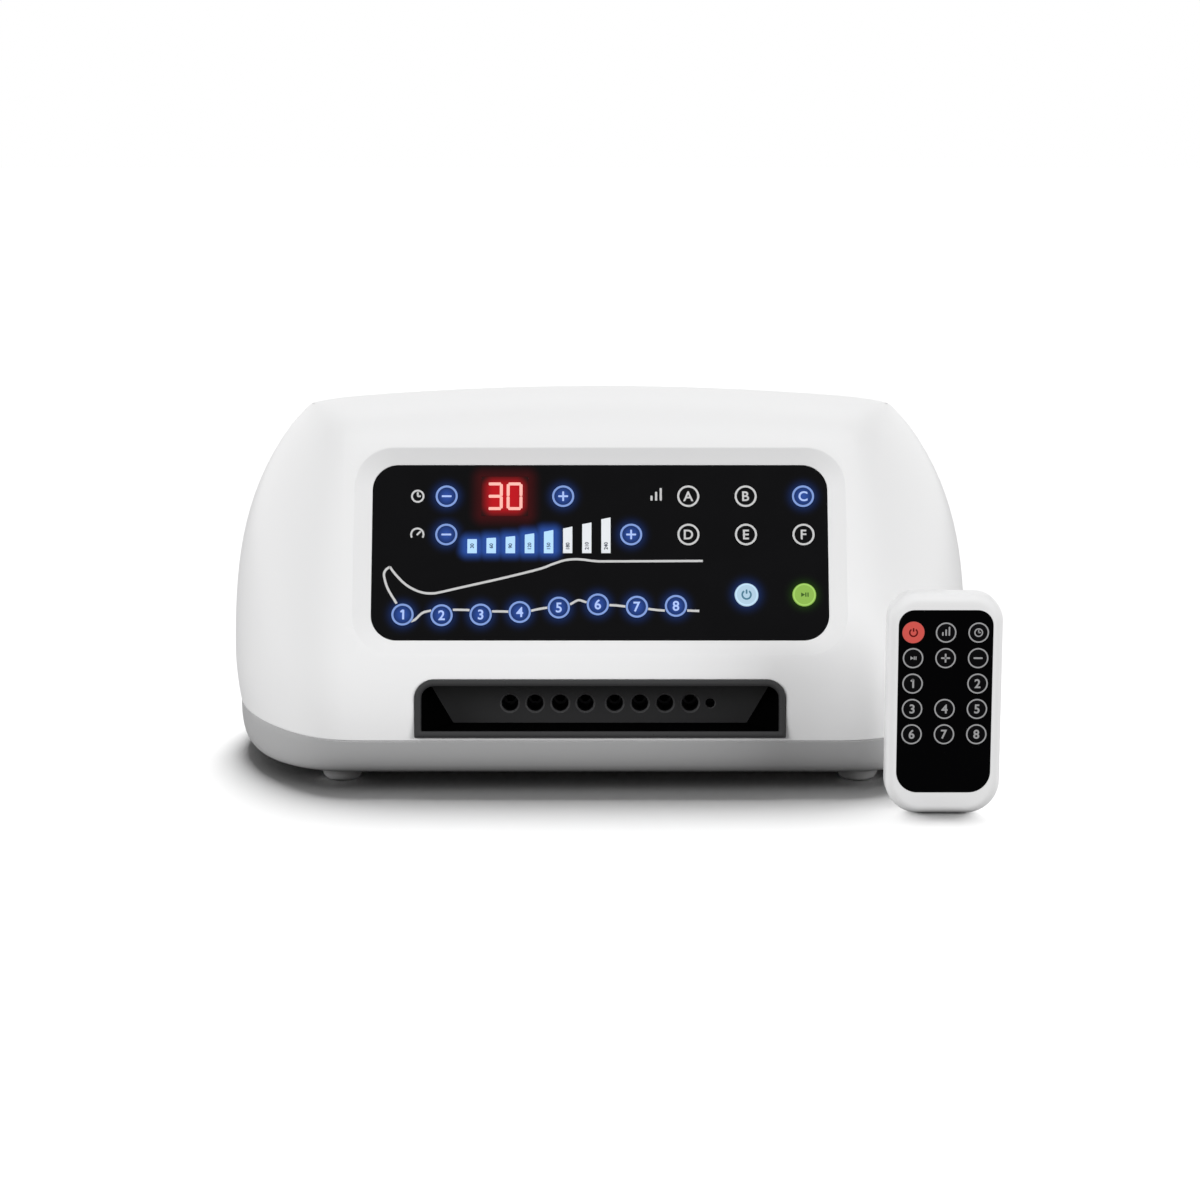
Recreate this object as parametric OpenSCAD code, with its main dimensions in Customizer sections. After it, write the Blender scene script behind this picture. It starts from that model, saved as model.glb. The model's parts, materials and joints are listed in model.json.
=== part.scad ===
// Air compression therapy pump: a table console with a leaning control panel, a recessed
// bay of hose ports, the pump works inside it, and its upright remote control.
// Millimetres, +Z up, the console's front towards -Y, origin under the console's centre.

/* [Housing] */
// Width of the console at its widest
body_w = 360; // [352:1:372]
// Depth of the console at its parting line
body_d = 210; // [204:1:224]
// Height of the console's ridge above the table
body_h = 177; // [175:0.5:183]
// Height of the grey base pan
base_h = 16; // [15:0.5:18]
// Radius by which the base pan rounds in below
base_round = 8; // [6:0.5:11]
// Wall thickness of both housings
wall = 3; // [2.4:0.1:3.4]
// Lean of the front face, in degrees from upright
face_lean = 21; // [18:0.5:23]
// Width of the flat middle of the front and back
flat_w = 238; // [236:1:246]
// Fall of the ridge from the middle to its ends
crown = 8; // [4:0.5:10]
// How far the sides draw in from the widest level to the ridge
shoulder = 40; // [30:1:46]

/* [Feet] */
// Height of the rubber feet
foot_h = 8; // [6:0.5:10]
// Diameter of the rubber feet
foot_dia = 20; // [16:0.5:24]
// Distance between the left and right feet
foot_span_x = 242; // [230:1:246]
// Distance between the front and back feet
foot_span_y = 154; // [136:1:158]

/* [Control panel] */
// Width of the black panel
panel_w = 212.5; // [211:0.5:214]
// Height of the black panel
panel_h = 83.5; // [82:0.5:85]
// Corner radius of the black panel
panel_r = 12; // [8:0.5:16]
// Thickness of the black panel
panel_t = 2.5; // [2:0.1:3]
// Width of the sloping bezel beside the panel
bezel_side = 9; // [7:0.5:9.5]
// Width of the sloping bezel above and below the panel
bezel_end = 7.5; // [6:0.5:8]
// Depth of the panel below the front face
bezel_depth = 4; // [3:0.25:4.5]
// Diameter of the console's round keys
key_dia = 10.8; // [10:0.1:11.5]
// Distance that a console key travels
key_travel = 0.6; // [0.4:0.05:0.8]
// Distance between the mode keys' columns
mode_pitch = 26.8; // [25:0.1:27]
// Distance between the position keys
position_pitch = 18.1; // [17:0.1:18.3]
// Distance between the two upper rows of keys
row_pitch = 18.3; // [17:0.1:19]
// Width of one bar of the pressure gauge
bar_w = 4.5; // [4:0.1:5]
// Distance between the bars of the pressure gauge
bar_pitch = 8.9; // [8.5:0.1:9.1]

/* [Hose bay] */
// Width of the bay's frame
bay_w = 171; // [166:1:176]
// Height of the bay's frame
bay_h = 27; // [25:0.5:28]
// Width of the frame's lip
bay_lip = 3.2; // [2.5:0.1:4]
// Depth of the bay behind its lip
bay_depth = 20; // [17:0.5:22]
// Bore of the hose sockets
port_dia = 7.4; // [6.6:0.1:8]
// Distance between neighbouring hose ports
port_pitch = 11.7; // [11.3:0.1:12]
// Distance between the two middle hose ports
port_gap = 13.7; // [12.5:0.1:14.5]
// Depth of a hose socket
port_depth = 12; // [9:0.5:14]
// Diameter of the locating hole beside the ports
locator_dia = 4; // [3:0.1:5]

/* [Remote control] */
// Width of the remote control
remote_w = 51; // [50:0.5:56]
// Height of the remote control
remote_h = 100; // [98:0.5:106]
// Thickness of the remote control
remote_t = 15; // [14:0.5:18]
// Middle of the remote control to the right of the console's middle
remote_x = 153; // [150:1:170]
// Space between the remote control and the console
remote_gap = 27; // [12:1:40]
// Diameter of the remote control's keys
remote_key_dia = 9.6; // [9:0.1:10]
// Distance between the remote control's key columns
remote_col = 14.4; // [13.5:0.1:14.6]
// Distance between the remote control's key rows
remote_row = 11.5; // [11.4:0.05:11.9]
// Distance that a remote key travels
remote_travel = 0.5; // [0.3:0.05:0.6]

/* [Hidden] */
$fn = 48;
CONSOLE_KEYS = ["time_minus_key", "time_plus_key", "pressure_minus_key", "pressure_plus_key",
    "mode_a_key", "mode_b_key", "mode_c_key", "mode_d_key", "mode_e_key", "mode_f_key",
    "power_key", "start_key", "position_1_key", "position_2_key", "position_3_key",
    "position_4_key", "position_5_key", "position_6_key", "position_7_key", "position_8_key"];
REMOTE_KEYS = ["remote_power_key", "remote_mode_key", "remote_time_key",
    "remote_start_key", "remote_more_key", "remote_less_key",
    "remote_1_key", "remote_2_key", "remote_3_key", "remote_4_key",
    "remote_5_key", "remote_6_key", "remote_7_key", "remote_8_key"];

seat_gap = 0.1;      // between pieces that are set into one another
slide_gap = 0.15;    // around a key in its hole
eps = 0.01;          // a cut runs this far past a face

// ---- The housing's form -------------------------------------------------------------
part_z = foot_h + base_h;
front_y = -body_d / 2;
back_y = body_d / 2;
widest_z = part_z + 26;
tuck = 2.5;                         // the sides come in this much from there to the parting
curve_h = 38;                       // the front's lower curve, above the parting line
face_z0 = part_z + curve_h;
face_z1 = body_h - 20;              // the flat face ends here, and the top rounds over
back_lean = 5;
ridge_fall = 4;                     // slope of the top at the ridge, falling to the back
front_corner = 1.6;                 // exponents of the plan's corners
back_corner = 2.1;
ridge_end_z = body_h - crown;

function lean_y(z) = front_y + (z - part_z - curve_h / 2) * tan(face_lean);
function low_t(z) = (z - part_z) / curve_h;
function front_at(z) = z < face_z0
    ? front_y + curve_h / 2 * tan(face_lean) * pow(max(0, low_t(z)), 2) : lean_y(z);
function back_at(z) = back_y - max(0, z - part_z) * tan(back_lean);

// Half-width of the housing at height z
function rise(z) = min(1, (z - widest_z) / (ridge_end_z - widest_z));
function side_at(z) = z < widest_z
    ? body_w / 2 - tuck * pow(min(1, (widest_z - z) / (widest_z - part_z)), 2)
    : body_w / 2 - shoulder * (0.77 * pow(rise(z), 2.9) + 0.23 * (1 - sqrt(1 - pow(rise(z), 2))));

// Above the flat face the front and the back round over to the ridge: quadratic curves
function bend(a, b, c, s) = pow(1 - s, 2) * a + 2 * s * (1 - s) * b + s * s * c;
knee_z = (body_h - lean_y(0) * tan(ridge_fall)) / (1 + tan(face_lean) * tan(ridge_fall));
knee_y = lean_y(knee_z);
heel_y = back_at(body_h);
heel_z = body_h - heel_y * tan(ridge_fall);

// One level of the housing: front y, front z, back y, back z, half-width, and for the base
// pan the exponent of its front corners.
// inset draws every wall in by the same thickness.
function level_low(z, inset) =
    [front_at(z) + inset / cos(face_lean), z, back_at(z) - inset, z, side_at(z) - inset];
function squash_z(z) = z - crown * max(0, z - face_z1) / (body_h - face_z1);
function level_top(s, inset) =
    let (fy = bend(lean_y(face_z1), knee_y, 0, s), fz = bend(face_z1, knee_z, body_h, s),
         by = bend(back_at(face_z1), heel_y, 0, s), bz = bend(face_z1, heel_z, body_h, s),
         keep = 1 - s)
    [fy + inset * keep / cos(face_lean), fz - inset * s, by - inset * keep, bz - inset * s,
     side_at(squash_z((fz + bz) / 2)) - inset];

// The fall of the crown at x, growing from the flat face's top to the ridge
function crowned(x, z) = z < face_z1 ? z
    : z - crown * pow(x / side_at(ridge_end_z), 2) * (z - face_z1) / (body_h - face_z1);

// Half of a level's outline, from its left end to its right end
function half_ring(lv, y_end, z_end, power, nc, nf) =
    let (mid_y = (lv[0] + lv[2]) / 2, mid_z = (lv[1] + lv[3]) / 2, xf = flat_w / 2,
         corner = [for (i = [0 : nc]) let (t = 90 * i / nc)
             [xf + (lv[4] - xf) * pow(cos(t), 2 / power), pow(sin(t), 2 / power)]])
    concat([for (c = corner) [-c[0], mid_y + (y_end - mid_y) * c[1], mid_z + (z_end - mid_z) * c[1]]],
        [for (i = [1 : nf - 1]) [-xf + 2 * xf * i / nf, y_end, z_end]],
        [for (i = [nc : -1 : 0]) let (c = corner[i])
            [c[0], mid_y + (y_end - mid_y) * c[1], mid_z + (z_end - mid_z) * c[1]]]);
function ring(lv, nc, nf) =
    let (front = half_ring(lv, lv[0], lv[1], len(lv) > 5 ? lv[5] : front_corner, nc, nf),
         back = half_ring(lv, lv[2], lv[3], back_corner, nc, nf), n = len(front))
    [for (p = concat(front, [for (i = [n - 2 : -1 : 1]) back[i]]))
        [p[0], p[1], crowned(p[0], p[2])]];

// A closed solid through a list of levels, the first one lowest
module loft(levels, nc, nf) {
    rings = [for (lv = levels) ring(lv, nc, nf)];
    n = len(rings[0]);
    half = n / 2;
    last = len(rings) - 1;
    sides = [for (k = [0 : last - 1], i = [0 : n - 1])
        let (a = k * n + i, b = k * n + (i + 1) % n) each [[a, a + n, b + n], [a, b + n, b]]];
    roof = [for (i = [0 : half - 1])
        let (a = last * n + i, b = a + 1, c = last * n + (n - i - 1), d = last * n + (n - i) % n)
        each (i == 0 ? [[a, c, b]] : i == half - 1 ? [[a, d, b]] : [[a, d, c], [a, c, b]])];
    polyhedron([for (r = rings) each r], concat([[for (i = [0 : n - 1]) i]], sides, roof));
}

low_steps = [0, 0.25, 0.5, 0.75, 1];
face_steps = [0.17, 0.33, 0.5, 0.66, 0.8, 0.91, 1];
top_steps = [0.12, 0.25, 0.4, 0.56, 0.72, 0.86, 0.96];
module housing_outer() {
    loft(concat([for (t = low_steps) level_low(part_z + t * curve_h, 0)],
        [for (t = face_steps) level_low(face_z0 + t * (face_z1 - face_z0), 0)],
        [for (s = top_steps) level_top(s, 0)]), 9, 6);
}
module housing_inner() {
    loft(concat([level_low(part_z - 1, wall)],
        [for (t = [0.4, 1]) level_low(part_z + t * curve_h, wall)],
        [for (t = [0.5, 0.8, 1]) level_low(face_z0 + t * (face_z1 - face_z0), wall)],
        [for (s = [0.25, 0.55, 0.85]) level_top(s, wall)]), 5, 4);
}

// A level of the base pan: a full round from the parting line (t = 0) to the flat bottom (90)
full_round = 2.4;
base_corner = 2.1;                        // its bottom corners are fuller than the parting line's
function level_base(t, inset) =
    let (z = part_z - (base_h - inset) * pow(sin(t), 2 / full_round),
         d = (base_round - inset / 2) * (1 - pow(cos(t), 2 / full_round)) + inset)
    [front_y + d, z, back_y - d, z, side_at(part_z) - d,
     front_corner + (base_corner - front_corner) * t / 90];
module base_outer() {
    loft([for (t = [90, 75, 60, 45, 30, 15, 0]) level_base(t, 0)], 9, 6);
}
module base_inner() {
    top = level_base(0, wall);
    loft(concat([for (t = [90, 60, 30, 0]) level_base(t, wall)],
        [[top[0], part_z + 1, top[2], part_z + 1, top[4]]]), 6, 4);
}

// ---- Places on the front face --------------------------------------------------------
// panel_frame() puts its children at the panel's middle, z out of the face
bezel_foot = 21.3;                       // the bezel's lower edge, up the face from the curve
panel_v = bezel_foot + bezel_end + panel_h / 2;
panel_y = front_y + panel_v * sin(face_lean);
panel_z = part_z + curve_h / 2 + panel_v * cos(face_lean);
module panel_frame() {
    translate([0, panel_y, panel_z]) rotate([90 - face_lean, 0, 0]) children();
}

// A rectangle with round corners, made of squares and circles
module round_rect(w, h, r_top, r_low = -1) {
    rl = r_low < 0 ? r_top : r_low;
    rm = max(r_top, rl);
    translate([-w / 2, -h / 2 + rl]) square([w, h - rl - r_top]);
    translate([-w / 2 + rm, -h / 2]) square([w - 2 * rm, h]);
    for (s = [-1, 1]) {
        translate([s * (w / 2 - r_top), h / 2 - r_top]) circle(r_top);
        translate([s * (w / 2 - rl), -h / 2 + rl]) circle(rl);
    }
    translate([-w / 2 + r_top, 0]) square([w - 2 * r_top, h / 2]);
    translate([-w / 2 + rl, -h / 2]) square([w - 2 * rl, h / 2]);
}

module rounded_plate(w, h, t, r) {
    linear_extrude(t) round_rect(w, h, r);
}

key_r = key_dia / 2;
key_proud = 0.15;
panel_back = -bezel_depth - panel_t;
tub_rim = 3.2;                           // the well's wall beside the bezel
well_back = panel_back - 3.5;
flange_t = 1;
flange_r = key_r + 0.8;
mode_x0 = 41.2;
window_w = 2 * (mode_x0 + 2 * mode_pitch + flange_r + 1.2);     // clear of the outer keys
window_h = panel_h - 10;
cap_h = panel_t + flange_t + slide_gap;     // a key's cap, up to the panel's face
switch_h = 3.5;
stem_len = 1.6;
stem_end = panel_back - slide_gap - flange_t - stem_len;
switch_top = stem_end - key_travel - 0.1;
board_front = switch_top - switch_h;
board_t = 1.6;
board_w = panel_w + 5;
board_h = window_h + 6;

upper_row = panel_h / 2 - 15;
middle_row = upper_row - row_pitch;
minus_x = -71.6;
time_plus_x = -17.2;
pressure_plus_x = 14.5;
power_row = -20.1;
position_x0 = -91.5;
position_rise = [0, -0.3, 0, 1.2, 3.3, 4.8, 3.7, 4.1];   // above the first position key
position_row = -29.5;

KEY_PLACES = concat(
    [[minus_x, upper_row], [time_plus_x, upper_row],
     [minus_x, middle_row], [pressure_plus_x, middle_row]],
    [for (row = [upper_row, middle_row], i = [0 : 2]) [mode_x0 + i * mode_pitch, row]],
    [for (i = [1, 2]) [mode_x0 + i * mode_pitch, power_row]],
    [for (i = [0 : 7]) [position_x0 + i * position_pitch, position_row + position_rise[i]]]);

// The time window and the pressure gauge
time_x = -44.5;
time_w = 21.7;
time_h = 18.8;
bar_x0 = -61.7;
bar_foot = middle_row - 8.8;
BAR_HEIGHTS = [6.6, 7.3, 8.1, 9.4, 11, 12.6, 14.6, 17];
bar_slant = 0.9;
module gauge_bars(grow) {
    for (i = [0 : 7]) let (h = BAR_HEIGHTS[i], x = bar_x0 + i * bar_pitch)
        polygon([[x - grow, bar_foot - grow], [x + bar_w + grow, bar_foot - grow],
            [x + bar_w + grow, bar_foot + h + grow], [x - grow, bar_foot + h - bar_slant + grow]]);
}

// ---- Places low in the console -------------------------------------------------------
bay_z0 = part_z + 1.8;                    // the frame's bottom edge
bay_lean = atan((front_at(bay_z0 + bay_h) - front_at(bay_z0)) / bay_h);
bay_proud = 1.6;
bay_frame_t = 3;
bay_in_w = bay_w - 2 * bay_lip;
bay_in_h = bay_h - 2 * bay_lip + 0.6;
bay_floor = bay_z0 + (bay_h - bay_in_h) / 2;
bay_back = front_y - bay_proud + bay_depth;
bay_corner = 9;
bay_rim = 2;                              // the frame laps this far over the bay's body
bay_tail_low = 132;                       // the recess narrows downwards at its back
bay_tail_high = 155;
// bay_place() puts its children on the frame's lower edge: y up the frame, z out of it
module bay_place() {
    translate([0, front_at(bay_z0) - bay_proud, bay_z0]) rotate([90 - bay_lean, 0, 0]) children();
}
port_z = bay_floor + 9.3;
port_r = port_dia / 2;
port_mouth_r = port_r + 0.2;              // clearance past which the socket begins
port_flare = 1.7;
PORT_X = [for (s = [-1, 1], i = [0 : 3]) s * (port_gap / 2 + i * port_pitch)];
locator_gap = 9.4;
locator_x = port_gap / 2 + 3 * port_pitch + locator_gap;

locator_depth = 8;
plate_t = 2;                              // the manifold's plate closes the bay's back
manifold_side = 4.5;                      // beside and round the sockets
tube_seat = 4;                            // depth of a tube's end in the manifold
manifold_d = port_depth + tube_seat;
manifold_w = 2 * (locator_x + locator_dia / 2 + manifold_side / 2);
manifold_h = port_dia + 2 * manifold_side;
socket_front = bay_back + plate_t;
nozzle_r = 2.2;
nozzle_bore = 1.4;
nozzle_len = 7;
tube_wall = 1;
tube_r = nozzle_r + seat_gap + tube_wall;
valve_front = -38;
valve_d = 34;
valve_w = 2 * (port_gap / 2 + 3 * port_pitch) + 16;
valve_h = 24;
valve_z0 = port_z - 8;
chamber_r = 13;
chamber_h = 9;
rotor_gap = 0.4;
shaft_r = 3;
shaft_gap = 0.05;
motor_r = 19;
motor_h = 18;
motor_wall = 2;
feed_x = 30;

floor_z = foot_h + wall;                  // inside face of the base pan's bottom
compressor_w = 118;
compressor_d = 56;
compressor_h = 62;
compressor_y0 = 24;
mount_h = 9;
mount_r = 7;
compressor_z0 = floor_z + mount_h;
board_post_h = 12;
main_w = 52;
main_d = 104;
main_inset = 81;                          // from the console's side to the middle of the board
main_x = body_w / 2 - main_inset;
main_y = 8;
transformer_w = 50;
transformer_d = 58;
transformer_h = 44;
transformer_inset = 80;
transformer_x = transformer_inset - body_w / 2;
transformer_y = 4;

screw_inset = 42;
screw_x = body_w / 2 - screw_inset;
screw_y = 55;
screw_r = 1.8;
screw_head_r = 3.4;
screw_head_t = 2.4;
boss_r = 5;
boss_h = 24;
screw_len = 16;

inlet_inset = 102;
inlet_x = inlet_inset - body_w / 2;
inlet_z = part_z + 24;
inlet_w = 27.4;
inlet_h = 19.8;
inlet_flange = 3.2;
inlet_d = 17;
module rear_frame(x, z) {                 // children: z out of the back wall
    translate([x, back_at(z), z]) rotate([90 - back_lean, 0, 180]) children();
}

// ---- Housings ------------------------------------------------------------------------
module bezel_cut() {
    over = 0.6;                           // the slope runs on past the face
    grow = over / bezel_depth;
    hull() {
        translate([0, 0, -bezel_depth]) rounded_plate(panel_w, panel_h, eps, panel_r, $fn = 32);
        translate([0, 0, over]) rounded_plate(panel_w + 2 * bezel_side * (1 + grow),
            panel_h + 2 * bezel_end * (1 + grow), eps, panel_r + bezel_end, $fn = 32);
    }
}

module screw_bosses(z0, h, r) {
    for (sx = [-1, 1], sy = [-1, 1]) translate([sx * screw_x, sy * screw_y, z0]) cylinder(h = h, r = r);
}

board_post_x = board_w / 2 - 4;
board_post_y = board_h / 2 - 4;
module upper_shell() color("white") difference() {
    union() {
        difference() {
            housing_outer();
            housing_inner();
        }
        intersection() {
            housing_outer();
            union() {
                panel_frame() translate([0, 0, well_back]) rounded_plate(
                    panel_w + 2 * bezel_side + 2 * tub_rim, panel_h + 2 * bezel_end + 2 * tub_rim,
                    -well_back - 1, panel_r + bezel_end);
                screw_bosses(part_z, boss_h, boss_r);
                for (sx = [-1, 1], sy = [-1, 1]) translate([sx * (screw_x + screw_inset / 2 + 1),
                    sy * screw_y, part_z + boss_h / 2]) cube([screw_inset - 3, 3, boss_h], center = true);
            }
        }
        panel_frame() for (sx = [-1, 1], sy = [-1, 1])
            translate([sx * board_post_x, sy * board_post_y, board_front])
                cylinder(h = well_back - board_front + 1, r = 3.5);
    }
    panel_frame() {
        bezel_cut();
        translate([0, 0, panel_back]) rounded_plate(panel_w, panel_h, panel_t + 1, panel_r);
        translate([-window_w / 2, -window_h / 2, well_back - 1]) cube([window_w, window_h, 6]);
    }
    bay_place() translate([0, 0, -bay_frame_t]) linear_extrude(bay_frame_t + bay_proud + 2)
        translate([0, -seat_gap]) bay_outline(bay_w + 2 * seat_gap, bay_h + 2 * seat_gap, bay_corner);
    bay_body(socket_front + seat_gap, seat_gap, 2);
    rear_frame(inlet_x, inlet_z) translate([-inlet_w / 2 - seat_gap, -inlet_h / 2 - seat_gap, -9])
        cube([inlet_w + 2 * seat_gap, inlet_h + 2 * seat_gap, 12]);
    rear_frame(0, part_z + 62) for (i = [-5 : 5]) translate([i * 9 - 2, -18, -6]) cube([4, 36, 9]);
    screw_bosses(part_z - 1, screw_len - 2, screw_r + 0.1);
}

vent_w = 3;
vent_len = 34;
vent_pitch = 7;
vent_field_x = 28;
module base_shell() color("darkgray") difference() {
    union() {
        difference() {
            base_outer();
            base_inner();
        }
        screw_bosses(floor_z - 1, part_z - floor_z + 1, boss_r);
        for (sx = [-1, 1]) {
            for (x = [0.35, 0.8]) translate([sx * x * valve_w / 2, valve_front + valve_d / 2, floor_z - 1])
                cylinder(h = valve_z0 - floor_z + 1, r = 5);
            for (sy = [-1, 1]) {
                translate([main_x + sx * (main_w / 2 - 5), main_y + sy * (main_d / 2 - 5), floor_z - 1])
                    cylinder(h = board_post_h + 1, r = 4);
                translate([transformer_x + sx * (transformer_w / 2 - 7),
                    transformer_y + sy * (transformer_d / 2 - 7), floor_z - 1])
                    cylinder(h = board_post_h / 2 + 1, r = 4);
            }
        }
    }
    for (sx = [-1, 1], sy = [-1, 1]) translate([sx * screw_x, sy * screw_y, 0]) {
        cylinder(h = part_z + 1, r = screw_r + 0.2);
        cylinder(h = floor_z + 1 + screw_head_t, r = screw_head_r + 0.3);
    }
    for (sx = [-1, 1], i = [-3 : 3])
        translate([sx * vent_field_x + i * vent_pitch - vent_w / 2,
            compressor_y0 + compressor_d / 2 - vent_len / 2, 0])
            cube([vent_w, vent_len, floor_z + 1]);
}

module rubber_feet() color("gainsboro")
    for (sx = [-1, 1], sy = [-1, 1]) translate([sx * foot_span_x / 2, sy * foot_span_y / 2, 0])
        rotate_extrude() polygon([[0, 0], [foot_dia / 2 - 1.5, 0], [foot_dia / 2, 1.5],
            [foot_dia / 2, foot_h], [0, foot_h]]);

module case_screws() color("silver")
    for (sx = [-1, 1], sy = [-1, 1])
        translate([sx * screw_x, sy * screw_y, floor_z + 1 + screw_head_t]) {
            translate([0, 0, -screw_head_t]) cylinder(h = screw_head_t, r = screw_head_r);
            cylinder(h = screw_len, r = screw_r);
        }

// ---- Control panel -------------------------------------------------------------------
module control_panel() color("black") panel_frame() difference() {
    translate([0, 0, panel_back]) rounded_plate(panel_w - 2 * seat_gap, panel_h - 2 * seat_gap,
        panel_t, panel_r - seat_gap);
    for (k = KEY_PLACES) translate([k[0], k[1], panel_back - 1])
        cylinder(h = panel_t + 2, r = key_r + slide_gap);
    translate([time_x - time_w / 2 - seat_gap, upper_row - time_h / 2 - seat_gap, panel_back - 1])
        cube([time_w + 2 * seat_gap, time_h + 2 * seat_gap, panel_t + 2]);
    translate([0, 0, panel_back - 1]) linear_extrude(panel_t + 2) gauge_bars(seat_gap);
}

module console_key(i) color(i == 10 ? "lightblue" : i == 11 ? "limegreen" : "dimgray")
    panel_frame() translate([KEY_PLACES[i][0], KEY_PLACES[i][1], 0]) {
        translate([0, 0, stem_end]) cylinder(h = stem_len + eps, r = 1.5);
        translate([0, 0, stem_end + stem_len]) cylinder(h = flange_t, r = flange_r);
        translate([0, 0, stem_end + stem_len]) rotate_extrude() polygon([[0, 0], [key_r, 0],
            [key_r, cap_h], [key_r - 0.3, cap_h + key_proud], [0, cap_h + key_proud]]);
    }

module time_display() color("darkred") panel_frame()
    translate([time_x - time_w / 2, upper_row - time_h / 2, board_front])
        cube([time_w, time_h, -bezel_depth - board_front]);

module pressure_bars() color("deepskyblue") panel_frame() {
    top_h = max(BAR_HEIGHTS);
    translate([0, 0, panel_back - 2]) linear_extrude(panel_t + 2) gauge_bars(0);
    translate([bar_x0 - 0.4, bar_foot - 0.4, board_front])
        linear_extrude(panel_back - seat_gap - board_front)
            polygon([[0, 0], [7 * bar_pitch + bar_w + 0.8, 0],
                [7 * bar_pitch + bar_w + 0.8, top_h + 0.8], [0, BAR_HEIGHTS[0] + 0.8]]);
}

module display_board() color("darkgreen") panel_frame()
    translate([-board_w / 2, -board_h / 2, board_front - board_t]) cube([board_w, board_h, board_t]);

module key_switches() color("gray") panel_frame()
    for (k = KEY_PLACES) translate([k[0], k[1], board_front]) {
        translate([-3, -3, 0]) cube([6, 6, switch_h - 0.6]);
        cylinder(h = switch_h, r = 1.7);
    }

// ---- Hose bay and air works ----------------------------------------------------------
module bay_outline(w, h, r) {             // round corners above, square ones below
    translate([-w / 2, 0]) square([w, h - r]);
    translate([-w / 2 + r, 0]) square([w - 2 * r, h]);
    for (s = [-1, 1]) translate([s * (w / 2 - r), h - r]) circle(r);
}

// The bay's body behind its frame: a box with a leaning front, grown and lengthened for its cut
module bay_body(back, grow, longer) {
    low = bay_z0 + bay_rim - grow;
    high = bay_z0 + bay_h - bay_rim + grow;
    face = front_at(bay_z0) - bay_proud + bay_frame_t * 0.6 - longer;
    rotate([90, 0, 90]) linear_extrude(bay_w - 2 * bay_rim + 2 * grow, center = true)
        polygon([[face + (low - bay_z0) * tan(bay_lean), low], [back, low],
            [back, high], [face + (high - bay_z0) * tan(bay_lean), high]]);
}

module hose_bay() color([0.2, 0.2, 0.21]) difference() {
    union() {
        bay_place() translate([0, 0, -bay_frame_t]) linear_extrude(bay_frame_t)
            bay_outline(bay_w, bay_h, bay_corner);
        bay_body(bay_back, 0, 0);
    }
    hull() {
        bay_place() translate([0, bay_floor - bay_z0, 0]) linear_extrude(1)
            bay_outline(bay_in_w, bay_in_h, bay_corner - bay_lip - 1, $fn = 32);
        translate([0, bay_back + 1, bay_floor]) rotate([90, 0, 0]) linear_extrude(1 + eps)
            polygon([[-bay_tail_low / 2, 0], [bay_tail_low / 2, 0],
                [bay_tail_high / 2, bay_in_h - 2.5], [-bay_tail_high / 2, bay_in_h - 2.5]]);
    }
}

// The plate is the recess's back wall: flared mouths lead to the sockets, and each socket runs
// on into the narrower seat of its tube
module air_manifold() color([0.25, 0.25, 0.26]) difference() {
    union() {
        translate([-bay_w / 2 + bay_rim, bay_back, bay_z0 + bay_rim])
            cube([bay_w - 2 * bay_rim, plate_t, bay_h - 2 * bay_rim]);
        translate([-manifold_w / 2, bay_back + eps, port_z - manifold_h / 2])
            cube([manifold_w, plate_t + manifold_d - eps, manifold_h]);
    }
    for (x = PORT_X) translate([x, socket_front, port_z]) rotate([-90, 0, 0]) {
        translate([0, 0, -plate_t])
            cylinder(h = port_flare, r1 = port_mouth_r + port_flare, r2 = port_mouth_r);
        translate([0, 0, -plate_t - 1]) cylinder(h = plate_t + 1, r = port_mouth_r);
        translate([0, 0, -1]) cylinder(h = port_depth + 1, r = port_r);
        cylinder(h = manifold_d + 1, r = tube_r + seat_gap / 2);
    }
    translate([locator_x, socket_front, port_z]) rotate([-90, 0, 0]) {
        translate([0, 0, -plate_t - 1]) cylinder(h = plate_t + 1, r = locator_dia / 2 + 0.2);
        translate([0, 0, -1]) cylinder(h = locator_depth + 1, r = locator_dia / 2);
    }
}

tube_front = socket_front + port_depth + 0.3;
module straight_tube(x, y0, y1, z) {
    translate([x, y0, z]) rotate([-90, 0, 0]) difference() {
        cylinder(h = y1 - y0, r = tube_r);
        translate([0, 0, -1]) cylinder(h = y1 - y0 + 2, r = nozzle_r + seat_gap / 2);
    }
}

module air_tubes() color("whitesmoke") {
    for (x = PORT_X) straight_tube(x, tube_front, valve_front - 0.5, port_z);
    straight_tube(feed_x, valve_front + valve_d + 0.5, compressor_y0 - 0.5, port_z);
}

rotor_y = valve_front + valve_d / 2;
valve_top = valve_z0 + valve_h;
module valve_block() color("lightslategray") difference() {
    union() {
        translate([-valve_w / 2, valve_front, valve_z0]) cube([valve_w, valve_d, valve_h]);
        for (x = PORT_X) translate([x, valve_front + 1, port_z]) rotate([90, 0, 0])
            cylinder(h = nozzle_len + 1, r = nozzle_r);
        translate([feed_x, valve_front + valve_d - 1, port_z]) rotate([-90, 0, 0])
            cylinder(h = nozzle_len + 1, r = nozzle_r);
    }
    for (x = PORT_X) translate([x, valve_front + 6, port_z]) rotate([90, 0, 0])
        cylinder(h = nozzle_len + 7, r = nozzle_bore);
    translate([feed_x, valve_front + valve_d - 6, port_z]) rotate([-90, 0, 0])
        cylinder(h = nozzle_len + 7, r = nozzle_bore);
    translate([0, rotor_y, valve_top - 3 - chamber_h]) cylinder(h = chamber_h, r = chamber_r);
    translate([0, rotor_y, valve_top - 4]) cylinder(h = 5, r = shaft_r + shaft_gap);
}

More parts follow.
